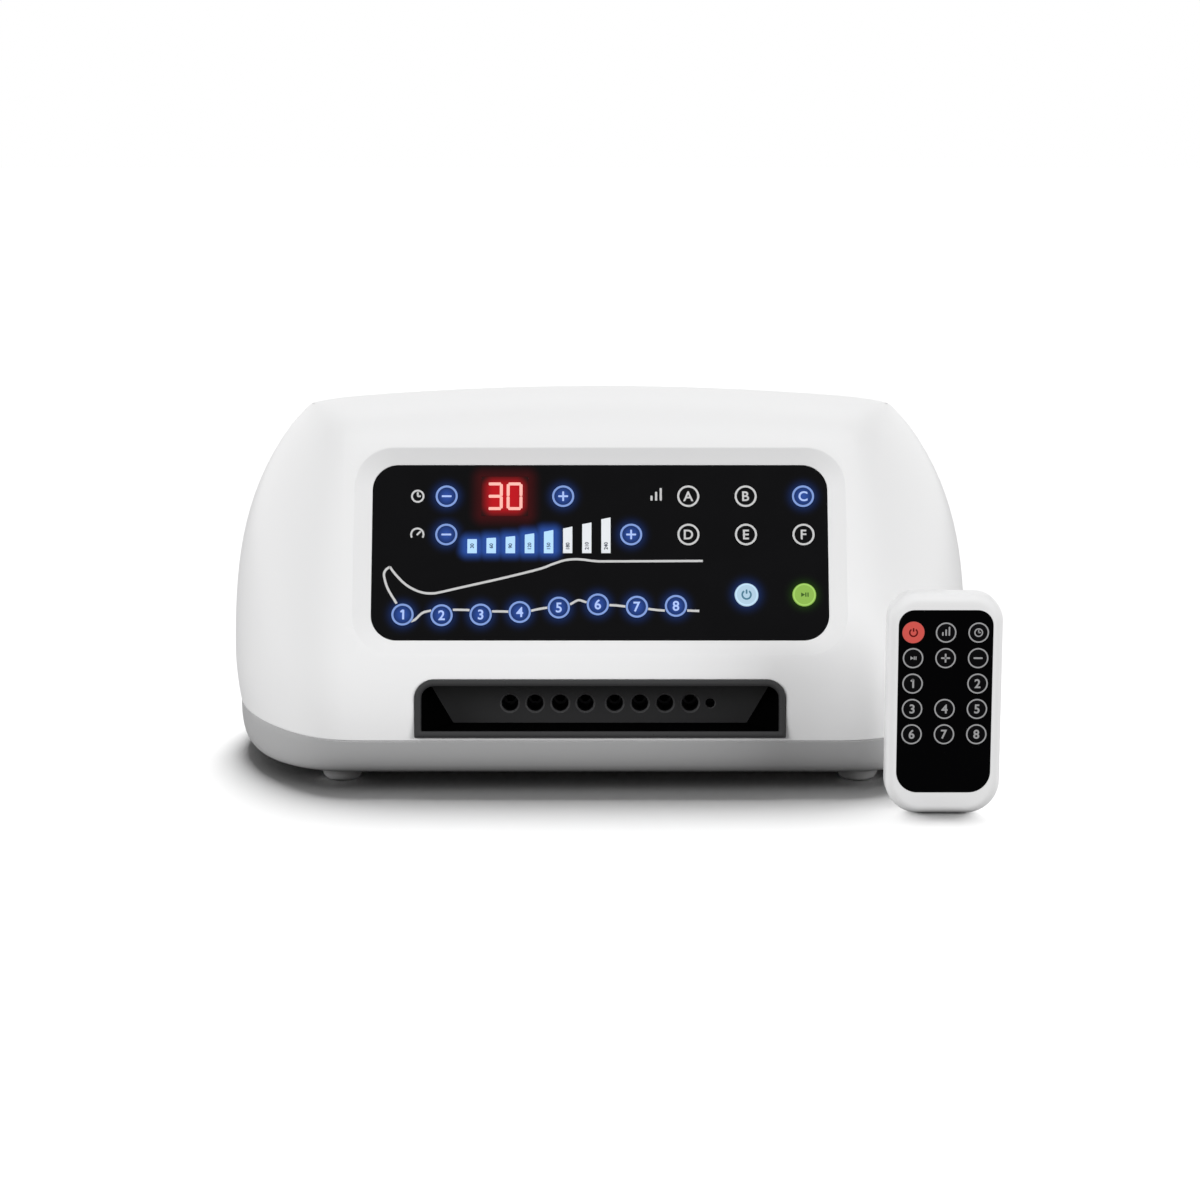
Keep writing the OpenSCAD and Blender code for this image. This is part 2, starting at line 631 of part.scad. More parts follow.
module valve_rotor() color("orange") translate([0, rotor_y, valve_top - 3 - chamber_h]) difference() {
    union() {
        translate([0, 0, 0.1]) cylinder(h = chamber_h - 0.4, r = chamber_r - rotor_gap);
        cylinder(h = chamber_h + 3 + motor_h / 2 - 1, r = shaft_r);
    }
    translate([chamber_r / 2, 0, -1]) cylinder(h = chamber_h + 2, r = 2.5);
}

module valve_motor() color("silver") translate([0, rotor_y, valve_top]) difference() {
    union() {
        cylinder(h = motor_h, r = motor_r);
        for (s = [-1, 1]) translate([s * (motor_r + 3), 0, 1]) cube([12, 8, 2], center = true);
    }
    translate([0, 0, -1]) cylinder(h = motor_h / 2 + 1, r = shaft_r + shaft_gap);
}

module air_compressor() color("gainsboro") {
    end_w = 24;
    translate([-compressor_w / 2 + end_w, compressor_y0 + 5, compressor_z0])
        cube([compressor_w - 2 * end_w, compressor_d - 10, compressor_h - 12]);
    for (s = [-1, 1]) translate([s * (compressor_w / 2 - end_w / 2), compressor_y0 + compressor_d / 2,
        compressor_z0 + compressor_h / 2]) rotate([0, 90, 0])
            cylinder(h = end_w + eps, r = compressor_d / 2 - 2, center = true);
    translate([-compressor_w / 2, compressor_y0, compressor_z0]) cube([compressor_w, compressor_d, 6]);
    difference() {
        translate([feed_x - 8, compressor_y0 + 1, compressor_z0]) cube([16, 10, port_z + 8 - compressor_z0]);
        translate([feed_x, compressor_y0, port_z]) rotate([-90, 0, 0]) cylinder(h = 6, r = nozzle_bore);
    }
    translate([feed_x, compressor_y0 + 1 + eps, port_z]) rotate([90, 0, 0]) difference() {
        cylinder(h = nozzle_len + 1, r = nozzle_r);
        translate([0, 0, -1]) cylinder(h = nozzle_len + 3, r = nozzle_bore);
    }
}

module compressor_mounts() color("dimgray")
    for (sx = [-1, 1], sy = [-1, 1]) translate([sx * (compressor_w / 2 - 10),
        compressor_y0 + compressor_d / 2 + sy * (compressor_d / 2 - 9), floor_z])
            rotate_extrude() polygon([[0, 0], [mount_r, 0], [mount_r, 2], [mount_r - 1.5, mount_h / 2],
                [mount_r, mount_h - 2], [mount_r, mount_h], [0, mount_h]]);

board_z = floor_z + board_post_h;
board_edge = 8;                           // bare board around its parts
relay_w = 18;
relay_d = 26;
relay_h = 16;
sink_t = 4;
sink_d = 34;
sink_h = 22;
can_r = 6;
can_h = 20;
can_pitch = 17;
chip_w = 22;
chip_d = 6;
chip_h = 5;
chip_pitch = 10;
module main_board() color("seagreen") translate([main_x - main_w / 2, main_y - main_d / 2, board_z]) {
    cube([main_w, main_d, board_t]);
    translate([board_edge, board_edge, board_t - eps]) cube([relay_w, relay_d, relay_h]);
    translate([board_edge, main_d - board_edge - sink_d, board_t - eps]) cube([sink_t, sink_d, sink_h]);
    for (i = [0 : 2]) translate([main_w - board_edge - can_r, 2 * board_edge + i * can_pitch, board_t - eps])
        cylinder(h = can_h, r = can_r);
    for (i = [0 : 3]) translate([main_w - board_edge - chip_w, main_d - board_edge - chip_d - i * chip_pitch,
        board_t - eps]) cube([chip_w, chip_d, chip_h]);
}

transformer_z = floor_z + board_post_h / 2;
module transformer() color("goldenrod")
    translate([transformer_x, transformer_y, transformer_z + transformer_h / 2]) {
        cube([transformer_w, transformer_d * 0.5, transformer_h], center = true);
        cube([transformer_w * 0.62, transformer_d * 0.92, transformer_h * 0.66], center = true);
        translate([0, 0, -transformer_h / 2 + 1]) cube([transformer_w, transformer_d, 2], center = true);
    }

module power_inlet() color([0.12, 0.12, 0.12]) rear_frame(inlet_x, inlet_z) {
    difference() {
        union() {
            translate([0, 0, -inlet_d]) linear_extrude(inlet_d + 1)
                square([inlet_w, inlet_h], center = true);
            translate([0, 0, seat_gap]) linear_extrude(2)
                round_rect(inlet_w + 2 * inlet_flange, inlet_h + 2 * inlet_flange, 3);
        }
        translate([0, 0, -inlet_d + 3]) linear_extrude(inlet_d)
            polygon([[-11.9, -6.5], [11.9, -6.5], [11.9, 3], [8.4, 8], [-8.4, 8], [-11.9, 3]]);
    }
    for (p = [[-7, -1.5], [0, 2], [7, -1.5]]) translate([p[0] - 1, p[1] - 2, -inlet_d + 2])
        cube([2, 4, inlet_d - 6]);
}

// ---- Remote control ------------------------------------------------------------------
// remote_frame() puts its children in the remote's middle, z out of its front
remote_front_y = front_y - remote_gap - remote_t;
module remote_frame() {
    translate([remote_x, remote_front_y, remote_h / 2]) rotate([90, 0, 0]) children();
}
remote_round = 4;                         // depth of the rounded edge
remote_split = -remote_t * 0.57;
remote_wall = 2.2;
remote_hollow_w = remote_w - 2 * remote_wall - 4;
remote_hollow_h = remote_h - 2 * remote_wall - 4;
remote_top_r = 11;
remote_low_r = 15;
face_w = remote_w - 9;
face_h = remote_h - 17.2;
face_rise = 1.5;                          // the face sits a little above the middle
face_t = 0.8;
remote_key_r = remote_key_dia / 2;
deck_t = 2;                               // front wall, with the black face let into it
remote_flange = -deck_t - slide_gap - 0.8;
remote_stem = remote_flange - 1.2;
dome_top = remote_stem - remote_travel - 0.1;
remote_board_z = dome_top - 1;
remote_board_t = 1.2;
remote_row1 = face_rise + 31.3;
REMOTE_PLACES = [for (row = [0 : 4], col = [-1 : 1]) if (row != 2 || col != 0)
    [col * remote_col, remote_row1 - row * remote_row]];

// Each half of the remote: full outline at the split, rounded in to its outer face
EDGE_ROUND = [[0, 1], [0.13, 0.5], [0.5, 0.13], [1, 0]];         // share drawn in, share of depth
remote_draw = 4;
module remote_layer(d, z) {
    translate([0, 0, z]) linear_extrude(0.1) round_rect(remote_w - 2 * d, remote_h - 2 * d,
        remote_top_r - d, remote_low_r - d, $fn = 32);
}
module remote_half(z_split, z_face) {
    toward = z_face > z_split ? -1 : 1;
    difference() {
        hull() {
            remote_layer(0, z_split - (toward < 0 ? 0 : 0.1));
            for (e = EDGE_ROUND) remote_layer(e[0] * remote_draw,
                z_face + toward * e[1] * remote_round - (toward < 0 ? 0.1 : 0));
        }
        translate([0, 0, -remote_t + remote_wall])
            linear_extrude(remote_t - remote_wall - deck_t) round_rect(remote_hollow_w,
                remote_hollow_h, remote_top_r - 3, remote_low_r - 3);
    }
}

module remote_holes(r, z, h) {
    for (p = REMOTE_PLACES) translate([p[0], p[1], z]) cylinder(h = h, r = r);
}

module remote_front() color("white") remote_frame() difference() {
    remote_half(remote_split, 0);
    translate([0, face_rise, -face_t]) linear_extrude(face_t + 1) round_rect(face_w, face_h, 7, 9.5);
    remote_holes(remote_key_r + slide_gap, -deck_t - 1, deck_t + 1);
}

cover_w = 28;
cover_h = 34;
cover_y = -remote_h / 2 + 15;             // the cover's lower edge, where it turns
cover_t = 1.2;
module remote_back() color("white") remote_frame() difference() {
    union() {
        remote_half(remote_split, -remote_t);
        for (sx = [-1, 1], sy = [-1, 1]) translate([sx * 14, sy * 36, -remote_t + remote_wall / 2])
            cylinder(h = remote_board_z - remote_board_t + remote_t - remote_wall / 2, r = 2);
    }
    translate([-cover_w / 2 - slide_gap, cover_y - slide_gap, -remote_t - 1])
        cube([cover_w + 2 * slide_gap, cover_h + 2 * slide_gap, cover_t + 1]);
    translate([0, cover_y + cover_h / 2, -remote_t - 1]) cylinder(h = remote_wall + 2, r = cell_r + 1);
}

module remote_face() color("black") remote_frame() difference() {
    translate([0, face_rise, -face_t]) linear_extrude(face_t)
        round_rect(face_w - 2 * seat_gap, face_h - 2 * seat_gap, 7 - seat_gap, 9.5 - seat_gap);
    remote_holes(remote_key_r + slide_gap, -face_t - 1, face_t + 2);
}

module remote_key(i) color(i == 0 ? "red" : "dimgray") remote_frame()
    translate([REMOTE_PLACES[i][0], REMOTE_PLACES[i][1], 0]) {
        translate([0, 0, remote_stem]) cylinder(h = 1.2 + eps, r = 1.2);
        translate([0, 0, remote_flange]) cylinder(h = 0.8, r = remote_key_r + 0.6);
        translate([0, 0, remote_flange]) cylinder(h = key_proud - remote_flange, r = remote_key_r);
    }

remote_board_gap = 1.7;                   // around the board in the remote's hollow
cell_r = 10;
cell_t = 3.2;
cell_z = -remote_t + cover_t + 0.3;
module remote_board() color("darkgreen") remote_frame() {
    translate([0, 0, remote_board_z - remote_board_t]) linear_extrude(remote_board_t)
        round_rect(remote_hollow_w - 2 * remote_board_gap, remote_hollow_h - 2 * remote_board_gap, 6, 9);
    for (p = REMOTE_PLACES) translate([p[0], p[1], remote_board_z - eps]) cylinder(h = 1 + eps, r = 3);
    translate([0, cover_y + cover_h / 2, cell_z + cell_t + 0.1])
        cylinder(h = remote_board_z - remote_board_t - cell_z - cell_t, r = cell_r + 0.5);
}

module coin_cell() color("silver") remote_frame()
    translate([0, cover_y + cover_h / 2, cell_z]) cylinder(h = cell_t, r = cell_r);

module battery_cover() color("white") remote_frame()
    translate([-cover_w / 2, cover_y, -remote_t]) cube([cover_w, cover_h, cover_t]);

upper_shell();
base_shell();
rubber_feet();
case_screws();
control_panel();
time_display();
pressure_bars();
display_board();
key_switches();
hose_bay();
air_manifold();
air_tubes();
valve_block();
valve_rotor();
valve_motor();
air_compressor();
compressor_mounts();
main_board();
transformer();
power_inlet();
remote_front();
remote_back();
remote_face();
remote_board();
coin_cell();
battery_cover();
for (i = [0 : len(CONSOLE_KEYS) - 1]) console_key(i);
for (i = [0 : len(REMOTE_KEYS) - 1]) remote_key(i);
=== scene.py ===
"""The looks of a compression therapy pump: its console, its remote control and a plain studio.

The script works in the row frame: metres, +Z up, the console's front towards -Y. Each
sub-assembly is built in a place of its own, in millimetres, and then moved to its seat.
"""
import json
import logging
import math
from collections.abc import Sequence
from dataclasses import dataclass, field
from enum import Enum

import bmesh
import bpy
from mathutils import Matrix, Vector

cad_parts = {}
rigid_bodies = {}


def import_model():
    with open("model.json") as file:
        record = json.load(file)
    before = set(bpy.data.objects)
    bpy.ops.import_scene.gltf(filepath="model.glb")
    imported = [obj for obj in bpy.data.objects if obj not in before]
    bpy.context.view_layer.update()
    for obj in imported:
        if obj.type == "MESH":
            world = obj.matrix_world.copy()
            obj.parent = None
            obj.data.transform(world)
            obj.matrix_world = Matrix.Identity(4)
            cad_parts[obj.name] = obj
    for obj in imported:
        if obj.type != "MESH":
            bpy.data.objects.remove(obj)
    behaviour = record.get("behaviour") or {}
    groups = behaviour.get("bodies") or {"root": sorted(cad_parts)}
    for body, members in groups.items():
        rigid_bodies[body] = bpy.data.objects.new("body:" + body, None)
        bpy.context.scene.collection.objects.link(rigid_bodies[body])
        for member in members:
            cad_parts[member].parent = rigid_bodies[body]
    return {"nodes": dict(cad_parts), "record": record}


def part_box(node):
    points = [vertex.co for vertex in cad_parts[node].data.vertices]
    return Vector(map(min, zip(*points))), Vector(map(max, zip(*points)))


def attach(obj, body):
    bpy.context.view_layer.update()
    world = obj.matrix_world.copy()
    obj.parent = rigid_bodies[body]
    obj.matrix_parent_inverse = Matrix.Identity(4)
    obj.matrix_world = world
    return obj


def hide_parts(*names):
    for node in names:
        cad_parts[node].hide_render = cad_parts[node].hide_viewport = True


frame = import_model()

LOG = logging.getLogger("pump")
MM = 0.001
UPWARD = (0.0, 0.0, 1.0)
SHARP = math.radians(30)
CONSOLE = "console"
REMOTE = "remote"

Color = tuple[float, float, float]
Ring = list[Vector]


# ---- Mesh tools ----------------------------------------------------------------------------

def place_at(origin: Sequence[float], tilt: float, turn: float = 0.0) -> Matrix:
    """A local place in millimetres: its z leans out of a wall.

    Args:
        origin: the place's middle, in millimetres of the row frame.
        tilt: turn about X, in degrees, which stands the place's y up and its z forward.
        turn: turn about Z after it, in degrees.

    Returns:
        The matrix from the place's millimetres to the row frame's metres.
    """
    lean = Matrix.Rotation(math.radians(tilt), 4, "X")
    about = Matrix.Rotation(math.radians(turn), 4, "Z")
    return Matrix.Scale(MM, 4) @ Matrix.Translation(Vector(origin)) @ about @ lean


def local_box(node: str, place: Matrix) -> tuple[Vector, Vector]:
    """The box of a CAD node along a place's own axes.

    Args:
        node: name of the CAD node.
        place: the place, as place_at() gives it.

    Returns:
        The lowest and the highest corner, in the place's millimetres.
    """
    back = place.inverted()
    points = [back @ v.co for v in frame["nodes"][node].data.vertices]
    low = Vector(min(p[i] for p in points) for i in range(3))
    high = Vector(max(p[i] for p in points) for i in range(3))
    return low, high


def begin_ring(bm: bmesh.types.BMesh, points: Ring) -> list[bmesh.types.BMVert]:
    """Starts a stack of rings with a closed loop of edges.

    Args:
        bm: the mesh.
        points: the loop's corners in order.

    Returns:
        The loop's vertices.
    """
    ring = [bm.verts.new(p) for p in points]
    for a, b in zip(ring, ring[1:] + ring[:1]):
        bm.edges.new((a, b))
    return ring


def raise_ring(bm: bmesh.types.BMesh, ring: list[bmesh.types.BMVert], points: Ring,
               material: int = 0) -> list[bmesh.types.BMVert]:
    """Extrudes the last ring of a stack and moves it to its new corners.

    Args:
        bm: the mesh.
        ring: the last ring's vertices.
        points: the new ring's corners, as many and in the same order.
        material: material index of the faces between the two.

    Returns:
        The new ring's vertices.
    """
    edges = [bm.edges.get((a, b)) for a, b in zip(ring, ring[1:] + ring[:1])]
    made = bmesh.ops.extrude_edge_only(bm, edges=edges)["geom"]
    fresh = {item for item in made if isinstance(item, bmesh.types.BMVert)}
    risen = [next(e.other_vert(v) for e in v.link_edges if e.other_vert(v) in fresh) for v in ring]
    for vert, point in zip(risen, points):
        vert.co = point
    for item in made:
        if isinstance(item, bmesh.types.BMFace):
            item.material_index = material
    return risen


def close_ring(bm: bmesh.types.BMesh, ring: list[bmesh.types.BMVert], material: int = 0) -> None:
    """Closes a flat ring with one face.

    Args:
        bm: the mesh.
        ring: the ring's vertices.
        material: material index of the face.
    """
    made = bmesh.ops.contextual_create(bm, geom=ring)["faces"]
    for face in made:
        face.material_index = material


def ring_stack(rings: Sequence[Ring], materials: Sequence[int] | None = None) -> bmesh.types.BMesh:
    """A closed solid through a stack of rings, with a flat face at either end.

    Args:
        rings: the rings in order.
        materials: material index of each stretch between two rings, then of the two ends.

    Returns:
        The new mesh.
    """
    bm = bmesh.new()
    marks = materials or [0] * (len(rings) + 1)
    first = ring = begin_ring(bm, rings[0])
    for points, mark in zip(rings[1:], marks):
        ring = raise_ring(bm, ring, points, mark)
    close_ring(bm, first, marks[-2])
    close_ring(bm, ring, marks[-1])
    bmesh.ops.recalc_face_normals(bm, faces=bm.faces)
    return bm


def ring_tube(rings: Sequence[Ring], materials: Sequence[int]) -> bmesh.types.BMesh:
    """A closed tube through a loop of rings, whose last ring joins its first.

    Args:
        rings: the rings in order.
        materials: material index of each stretch after a ring.

    Returns:
        The new mesh.
    """
    bm = bmesh.new()
    first = ring = begin_ring(bm, rings[0])
    for points, mark in zip(rings[1:], materials):
        ring = raise_ring(bm, ring, points, mark)
    loops = [bm.edges.get(pair) for loop in (first, ring) for pair in zip(loop, loop[1:] + loop[:1])]
    for face in bmesh.ops.bridge_loops(bm, edges=loops)["faces"]:
        face.material_index = materials[-1]
    bmesh.ops.recalc_face_normals(bm, faces=bm.faces)
    return bm


def turned(profile: Sequence[tuple[float, float]], steps: int = 64,
           sweep: float = 360.0) -> bmesh.types.BMesh:
    """A solid of revolution about z.

    Args:
        profile: radius and height of the outline's corners; a full turn starts and ends on the axis.
        steps: faces round a turn.
        sweep: degrees turned; under 360 the profile is a closed outline off the axis.

    Returns:
        The new mesh.
    """
    bm = bmesh.new()
    verts = [bm.verts.new((r, 0, z)) for r, z in profile]
    whole = sweep >= 360
    closed = profile[0][0] > 0
    pairs = list(zip(verts, verts[1:])) + ([(verts[-1], verts[0])] if closed else [])
    edges = [bm.edges.new(pair) for pair in pairs]
    bmesh.ops.spin(bm, geom=verts + edges, cent=(0, 0, 0), axis=UPWARD, angle=math.radians(sweep),
                   steps=steps, use_merge=whole, use_duplicate=False)
    bmesh.ops.remove_doubles(bm, verts=bm.verts, dist=1e-4)
    bmesh.ops.dissolve_degenerate(bm, dist=1e-5, edges=bm.edges)
    if not whole:
        bmesh.ops.holes_fill(bm, edges=[e for e in bm.edges if e.is_boundary], sides=len(profile))
    bmesh.ops.recalc_face_normals(bm, faces=bm.faces)
    return bm


def block(size: Sequence[float], centre: Sequence[float], angle: float = 0.0, round_by: float = 0.0,
          every_edge: bool = False) -> bmesh.types.BMesh:
    """A block whose upright edges may be rounded.

    Args:
        size: width, height and thickness.
        centre: the block's middle.
        angle: its turn about z, in degrees.
        round_by: radius of its edges, or 0.
        every_edge: rounds all the edges and not only the upright ones.

    Returns:
        The new mesh.
    """
    bm = bmesh.new()
    bmesh.ops.create_cube(bm, size=1.0)
    bmesh.ops.scale(bm, vec=Vector(size), verts=bm.verts)
    if round_by > 0:
        edges = [e for e in bm.edges
                 if every_edge or abs((e.verts[0].co - e.verts[1].co).normalized().z) > 0.9]
        bmesh.ops.bevel(bm, geom=edges, offset=round_by, affect="EDGES", segments=4, profile=0.5,
                        material=-1, clamp_overlap=True)
    turn = Matrix.Rotation(math.radians(angle), 4, "Z")
    bmesh.ops.transform(bm, matrix=Matrix.Translation(Vector(centre)) @ turn, verts=bm.verts)
    return bm


def absorb(bm: bmesh.types.BMesh, other: bmesh.types.BMesh, material: int | None = None,
           move: Matrix | None = None) -> None:
    """Adds another mesh's shapes to a mesh and frees the other.

    Args:
        bm: the mesh that grows.
        other: the mesh that goes into it.
        material: material index for the added faces, or None to keep theirs.
        move: a matrix for the added shapes.
    """
    if move is not None:
        bmesh.ops.transform(other, matrix=move, verts=other.verts)
    if material is not None:
        for face in other.faces:
            face.material_index = material
    carrier = bpy.data.meshes.new("carrier")
    other.to_mesh(carrier)
    other.free()
    bm.from_mesh(carrier)
    bpy.data.meshes.remove(carrier)


def soften(mesh: bpy.types.Mesh, limit: float = SHARP) -> None:
    """Shades a mesh smoothly, apart from edges that turn by more than a limit.

    Args:
        mesh: the mesh.
        limit: the angle in radians.
    """
    bm = bmesh.new()
    bm.from_mesh(mesh)
    for face in bm.faces:
        face.smooth = True
    for edge in bm.edges:
        edge.smooth = len(edge.link_faces) == 2 and edge.calc_face_angle(math.pi) < limit
    bm.to_mesh(mesh)
    bm.free()


def make_piece(name: str, bm: bmesh.types.BMesh, place: Matrix, materials: Sequence[bpy.types.Material],
               limit: float = SHARP) -> bpy.types.Object:
    """Turns a mesh into an object that sits at the origin, with its place in its mesh.

    Args:
        name: the piece's name.
        bm: its mesh in the place's millimetres, which is freed.
        place: the place's matrix.
        materials: materials in the order of the faces' indices.
        limit: edges that turn by more than this stay sharp, in radians.

    Returns:
        The new object.
    """
    bmesh.ops.transform(bm, matrix=place, verts=bm.verts)
    mesh = bpy.data.meshes.new(name)
    bm.to_mesh(mesh)
    bm.free()
    for material in materials:
        mesh.materials.append(material)
    soften(mesh, limit)
    piece = bpy.data.objects.new(name, mesh)
    bpy.context.scene.collection.objects.link(piece)
    return piece


def carve(piece: bpy.types.Object, cutter: bmesh.types.BMesh, place: Matrix, operation: str = "DIFFERENCE",
          limit: float = SHARP) -> None:
    """Cuts a shape out of a piece, or joins it on, and keeps the result as the piece's mesh.

    Args:
        piece: the object that is cut.
        cutter: the closed shape in the place's millimetres, which is freed.
        place: the place's matrix.
        operation: DIFFERENCE or UNION.
        limit: edges that turn by more than this stay sharp, in radians.
    """
    tool = make_piece("cutter", cutter, place, list(piece.data.materials))
    modifier = piece.modifiers.new("carve", "BOOLEAN")
    modifier.operation = operation
    modifier.solver = "EXACT"
    modifier.object = tool
    graph = bpy.context.evaluated_depsgraph_get()
    shaped = bpy.data.meshes.new_from_object(piece.evaluated_get(graph))
    piece.modifiers.remove(modifier)
    worn, piece.data = piece.data, shaped
    shaped.name = piece.name
    bpy.data.meshes.remove(worn)
    tool_mesh = tool.data
    bpy.data.objects.remove(tool)
    bpy.data.meshes.remove(tool_mesh)
    soften(shaped, limit)


def seat(piece: bpy.types.Object, body: str, slot: str, *nodes: str) -> bpy.types.Object:
    """Sets a piece on its body, hides the CAD nodes that it stands for and reports it.

    Args:
        piece: the new piece.
        body: the CAD body that it moves with.
        slot: the record's material slot; not used.
        nodes: the CAD nodes that it stands for.

    Returns:
        The piece.
    """
    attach(piece, body)
    if nodes:
        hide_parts(*nodes)
    LOG.info("%s: %d faces on %s", piece.name, len(piece.data.polygons), body)
    return piece


def round_rect(w: float, h: float, r_top: float, r_low: float, z: float, steps: int = 10,
               middle: Sequence[float] = (0.0, 0.0)) -> Ring:
    """A rectangle with round corners, anticlockwise from its lower right corner.

    Args:
        w: width.
        h: height.
        r_top: radius of the upper corners.
        r_low: radius of the lower corners.
        z: height of the ring along the place's z.
        steps: points along a corner, less one.
        middle: the rectangle's middle.

    Returns:
        The ring's points.
    """
    points = []
    for quarter, (sx, sy, r) in enumerate([(1, -1, r_low), (1, 1, r_top), (-1, 1, r_top), (-1, -1, r_low)]):
        for i in range(steps + 1):
            a = math.radians(90 * (quarter - 1 + i / steps))
            points.append(Vector((middle[0] + sx * (w / 2 - r) + r * math.cos(a),
                                  middle[1] + sy * (h / 2 - r) + r * math.sin(a), z)))
    return points


# ---- Finishes ------------------------------------------------------------------------------

class Graph:
    """A short way of writing a material's nodes."""

    def __init__(self, name: str) -> None:
        """Starts an empty material with an output.

        Args:
            name: the material's name.
        """
        self.material = bpy.data.materials.new(name)
        self.material.use_nodes = True
        self.tree = self.material.node_tree
        self.tree.nodes.clear()
        self.output = self.tree.nodes.new("ShaderNodeOutputMaterial")

    def add(self, kind: str, inputs: dict | None = None, out: int | str = 0,
            **settings: object) -> bpy.types.NodeSocket:
        """Adds a node.

        Args:
            kind: the node's type without its ShaderNode.
            inputs: values or sockets by input name or number.
            out: the output that is returned.
            settings: the node's own settings.

        Returns:
            The node's output socket.
        """
        node = self.tree.nodes.new("ShaderNode" + kind)
        for key, value in settings.items():
            setattr(node, key, value)
        for key, value in (inputs or {}).items():
            if isinstance(value, bpy.types.NodeSocket):
                self.tree.links.new(value, node.inputs[key])
            else:
                node.inputs[key].default_value = value
        return node.outputs[out]

    def math(self, operation: str, *values: object, clamp: bool = False) -> bpy.types.NodeSocket:
        """One step of arithmetic.

        Args:
            operation: the Math node's operation.
            values: numbers or sockets.
            clamp: keeps the result between 0 and 1.

        Returns:
            The result's socket.
        """
        return self.add("Math", dict(enumerate(values)), operation=operation, use_clamp=clamp)

    def position(self) -> bpy.types.NodeSocket:
        """The place on the object, in the row frame's metres."""
        return self.add("TexCoord", out="Object")

    def noise(self, grain: float, detail: float = 3.0,
              where: bpy.types.NodeSocket | None = None) -> bpy.types.NodeSocket:
        """A cloudy pattern.

        Args:
            grain: size of its clouds, in metres.
            detail: how many finer octaves it has.
            where: the coordinates, or None for the row frame's.

        Returns:
            The pattern's value, about 0.5.
        """
        place = where or self.position()
        return self.add("TexNoise", {"Vector": place, "Scale": 1 / grain, "Detail": detail})

    def bump(self, height: bpy.types.NodeSocket, depth: float) -> bpy.types.NodeSocket:
        """A relief.

        Args:
            height: the pattern.
            depth: its depth, in metres.

        Returns:
            The normal for a shader.
        """
        return self.add("Bump", {"Height": height, "Distance": depth, "Strength": 1.0})

    def finish(self, shader: bpy.types.NodeSocket) -> bpy.types.Material:
        """Connects the surface and returns the material."""
        self.tree.links.new(shader, self.output.inputs["Surface"])
        return self.material


def tint(color: Color, share: float) -> tuple[float, float, float, float]:
    """A colour made darker or lighter by a share, with a full alpha."""
    return tuple(min(1.0, c * share) for c in color) + (1.0,)


@dataclass(frozen=True)
class Moulding:
    """A moulded or cast surface: a faintly clouded colour, a skin texture and uneven gloss."""

    name: str
    color: Color
    roughness: float = 0.3
    metallic: float = 0.0
    specular: float = 0.5
    coat: float = 0.0
    grain: float = 0.0009
    relief: float = 0.000004
    cloud: float = 0.03
    wear: float = 0.15
    octaves: float = 4.0
    transmission: float = 0.0
    glow: Color | None = None
    glow_strength: float = 0.0

    def build(self) -> bpy.types.Material:
        """Makes the material.

        Returns:
            The material.
        """
        g = Graph(self.name)
        cloud = g.noise(self.grain * 30, self.octaves)
        skin = g.noise(self.grain, 2)
        color = g.add("Mix", {"Factor": cloud, "A": tint(self.color, 1 - self.cloud),
                              "B": tint(self.color, 1 + self.cloud)}, out=2, data_type="RGBA")
        rough = g.add("MapRange", {"Value": skin, "From Min": 0.3, "From Max": 0.7,
                                   "To Min": self.roughness * (1 - self.wear),
                                   "To Max": self.roughness * (1 + self.wear)})
        inputs = {"Base Color": color, "Roughness": rough, "Metallic": self.metallic,
                  "Specular IOR Level": self.specular, "Coat Weight": self.coat, "Coat Roughness": 0.08,
                  "Transmission Weight": self.transmission}
        if self.relief:
            inputs["Normal"] = g.bump(skin, self.relief)
        if self.glow:
            inputs["Emission Color"] = self.glow + (1.0,)
            inputs["Emission Strength"] = g.add("MapRange", {
                "Value": cloud, "From Min": 0.2, "From Max": 0.8,
                "To Min": self.glow_strength * 0.92, "To Max": self.glow_strength * 1.08})
        return g.finish(g.add("BsdfPrincipled", inputs))


@dataclass(frozen=True)
class Brushed:
    """A drawn or brushed metal, with fine lines along one axis."""

    name: str
    color: Color
    roughness: float = 0.32
    stretch: tuple[float, float, float] = (1.0, 1.0, 60.0)

    def build(self) -> bpy.types.Material:
        """Makes the material.

        Returns:
            The material.
        """
        g = Graph(self.name)
        lines = g.noise(0.004, 5, g.add("Mapping", {"Vector": g.position(), "Scale": self.stretch}))
        color = g.add("Mix", {"Factor": lines, "A": tint(self.color, 0.9), "B": tint(self.color, 1.08)},
                      out=2, data_type="RGBA")
        rough = g.add("MapRange", {"Value": lines, "To Min": self.roughness * 0.7,
                                   "To Max": self.roughness * 1.3})
        return g.finish(g.add("BsdfPrincipled", {
            "Base Color": color, "Roughness": rough, "Metallic": 1.0, "Normal": g.bump(lines, 0.00001)}))


@dataclass(frozen=True)
class Circuit:
    """A circuit board: solder mask with tracks and pads."""

    name: str
    color: Color

    def build(self) -> bpy.types.Material:
        """Makes the material.

        Returns:
            The material.
        """
        g = Graph(self.name)
        track = g.add("TexBrick", {"Vector": g.position(), "Scale": 220.0, "Mortar Size": 0.012}, out="Fac")
        pads = g.add("TexVoronoi", {"Vector": g.position(), "Scale": 320.0}, out="Distance")
        pad = g.math("LESS_THAN", pads, 0.16)
        mask = g.add("Mix", {"Factor": track, "A": tint(self.color, 1.0), "B": tint(self.color, 1.7)},
                     out=2, data_type="RGBA")
        color = g.add("Mix", {"Factor": pad, "A": mask, "B": (0.62, 0.6, 0.5, 1.0)}, out=2, data_type="RGBA")
        return g.finish(g.add("BsdfPrincipled", {
            "Base Color": color, "Roughness": 0.35, "Metallic": pad, "Normal": g.bump(track, 0.00004)}))


@dataclass(frozen=True)
class Halo:
    """A patch of light that shows through the black film."""

    middle: tuple[float, float]
    half: tuple[float, float]
    color: Color
    reach: float
    strength: float
    fall: float = 1.5


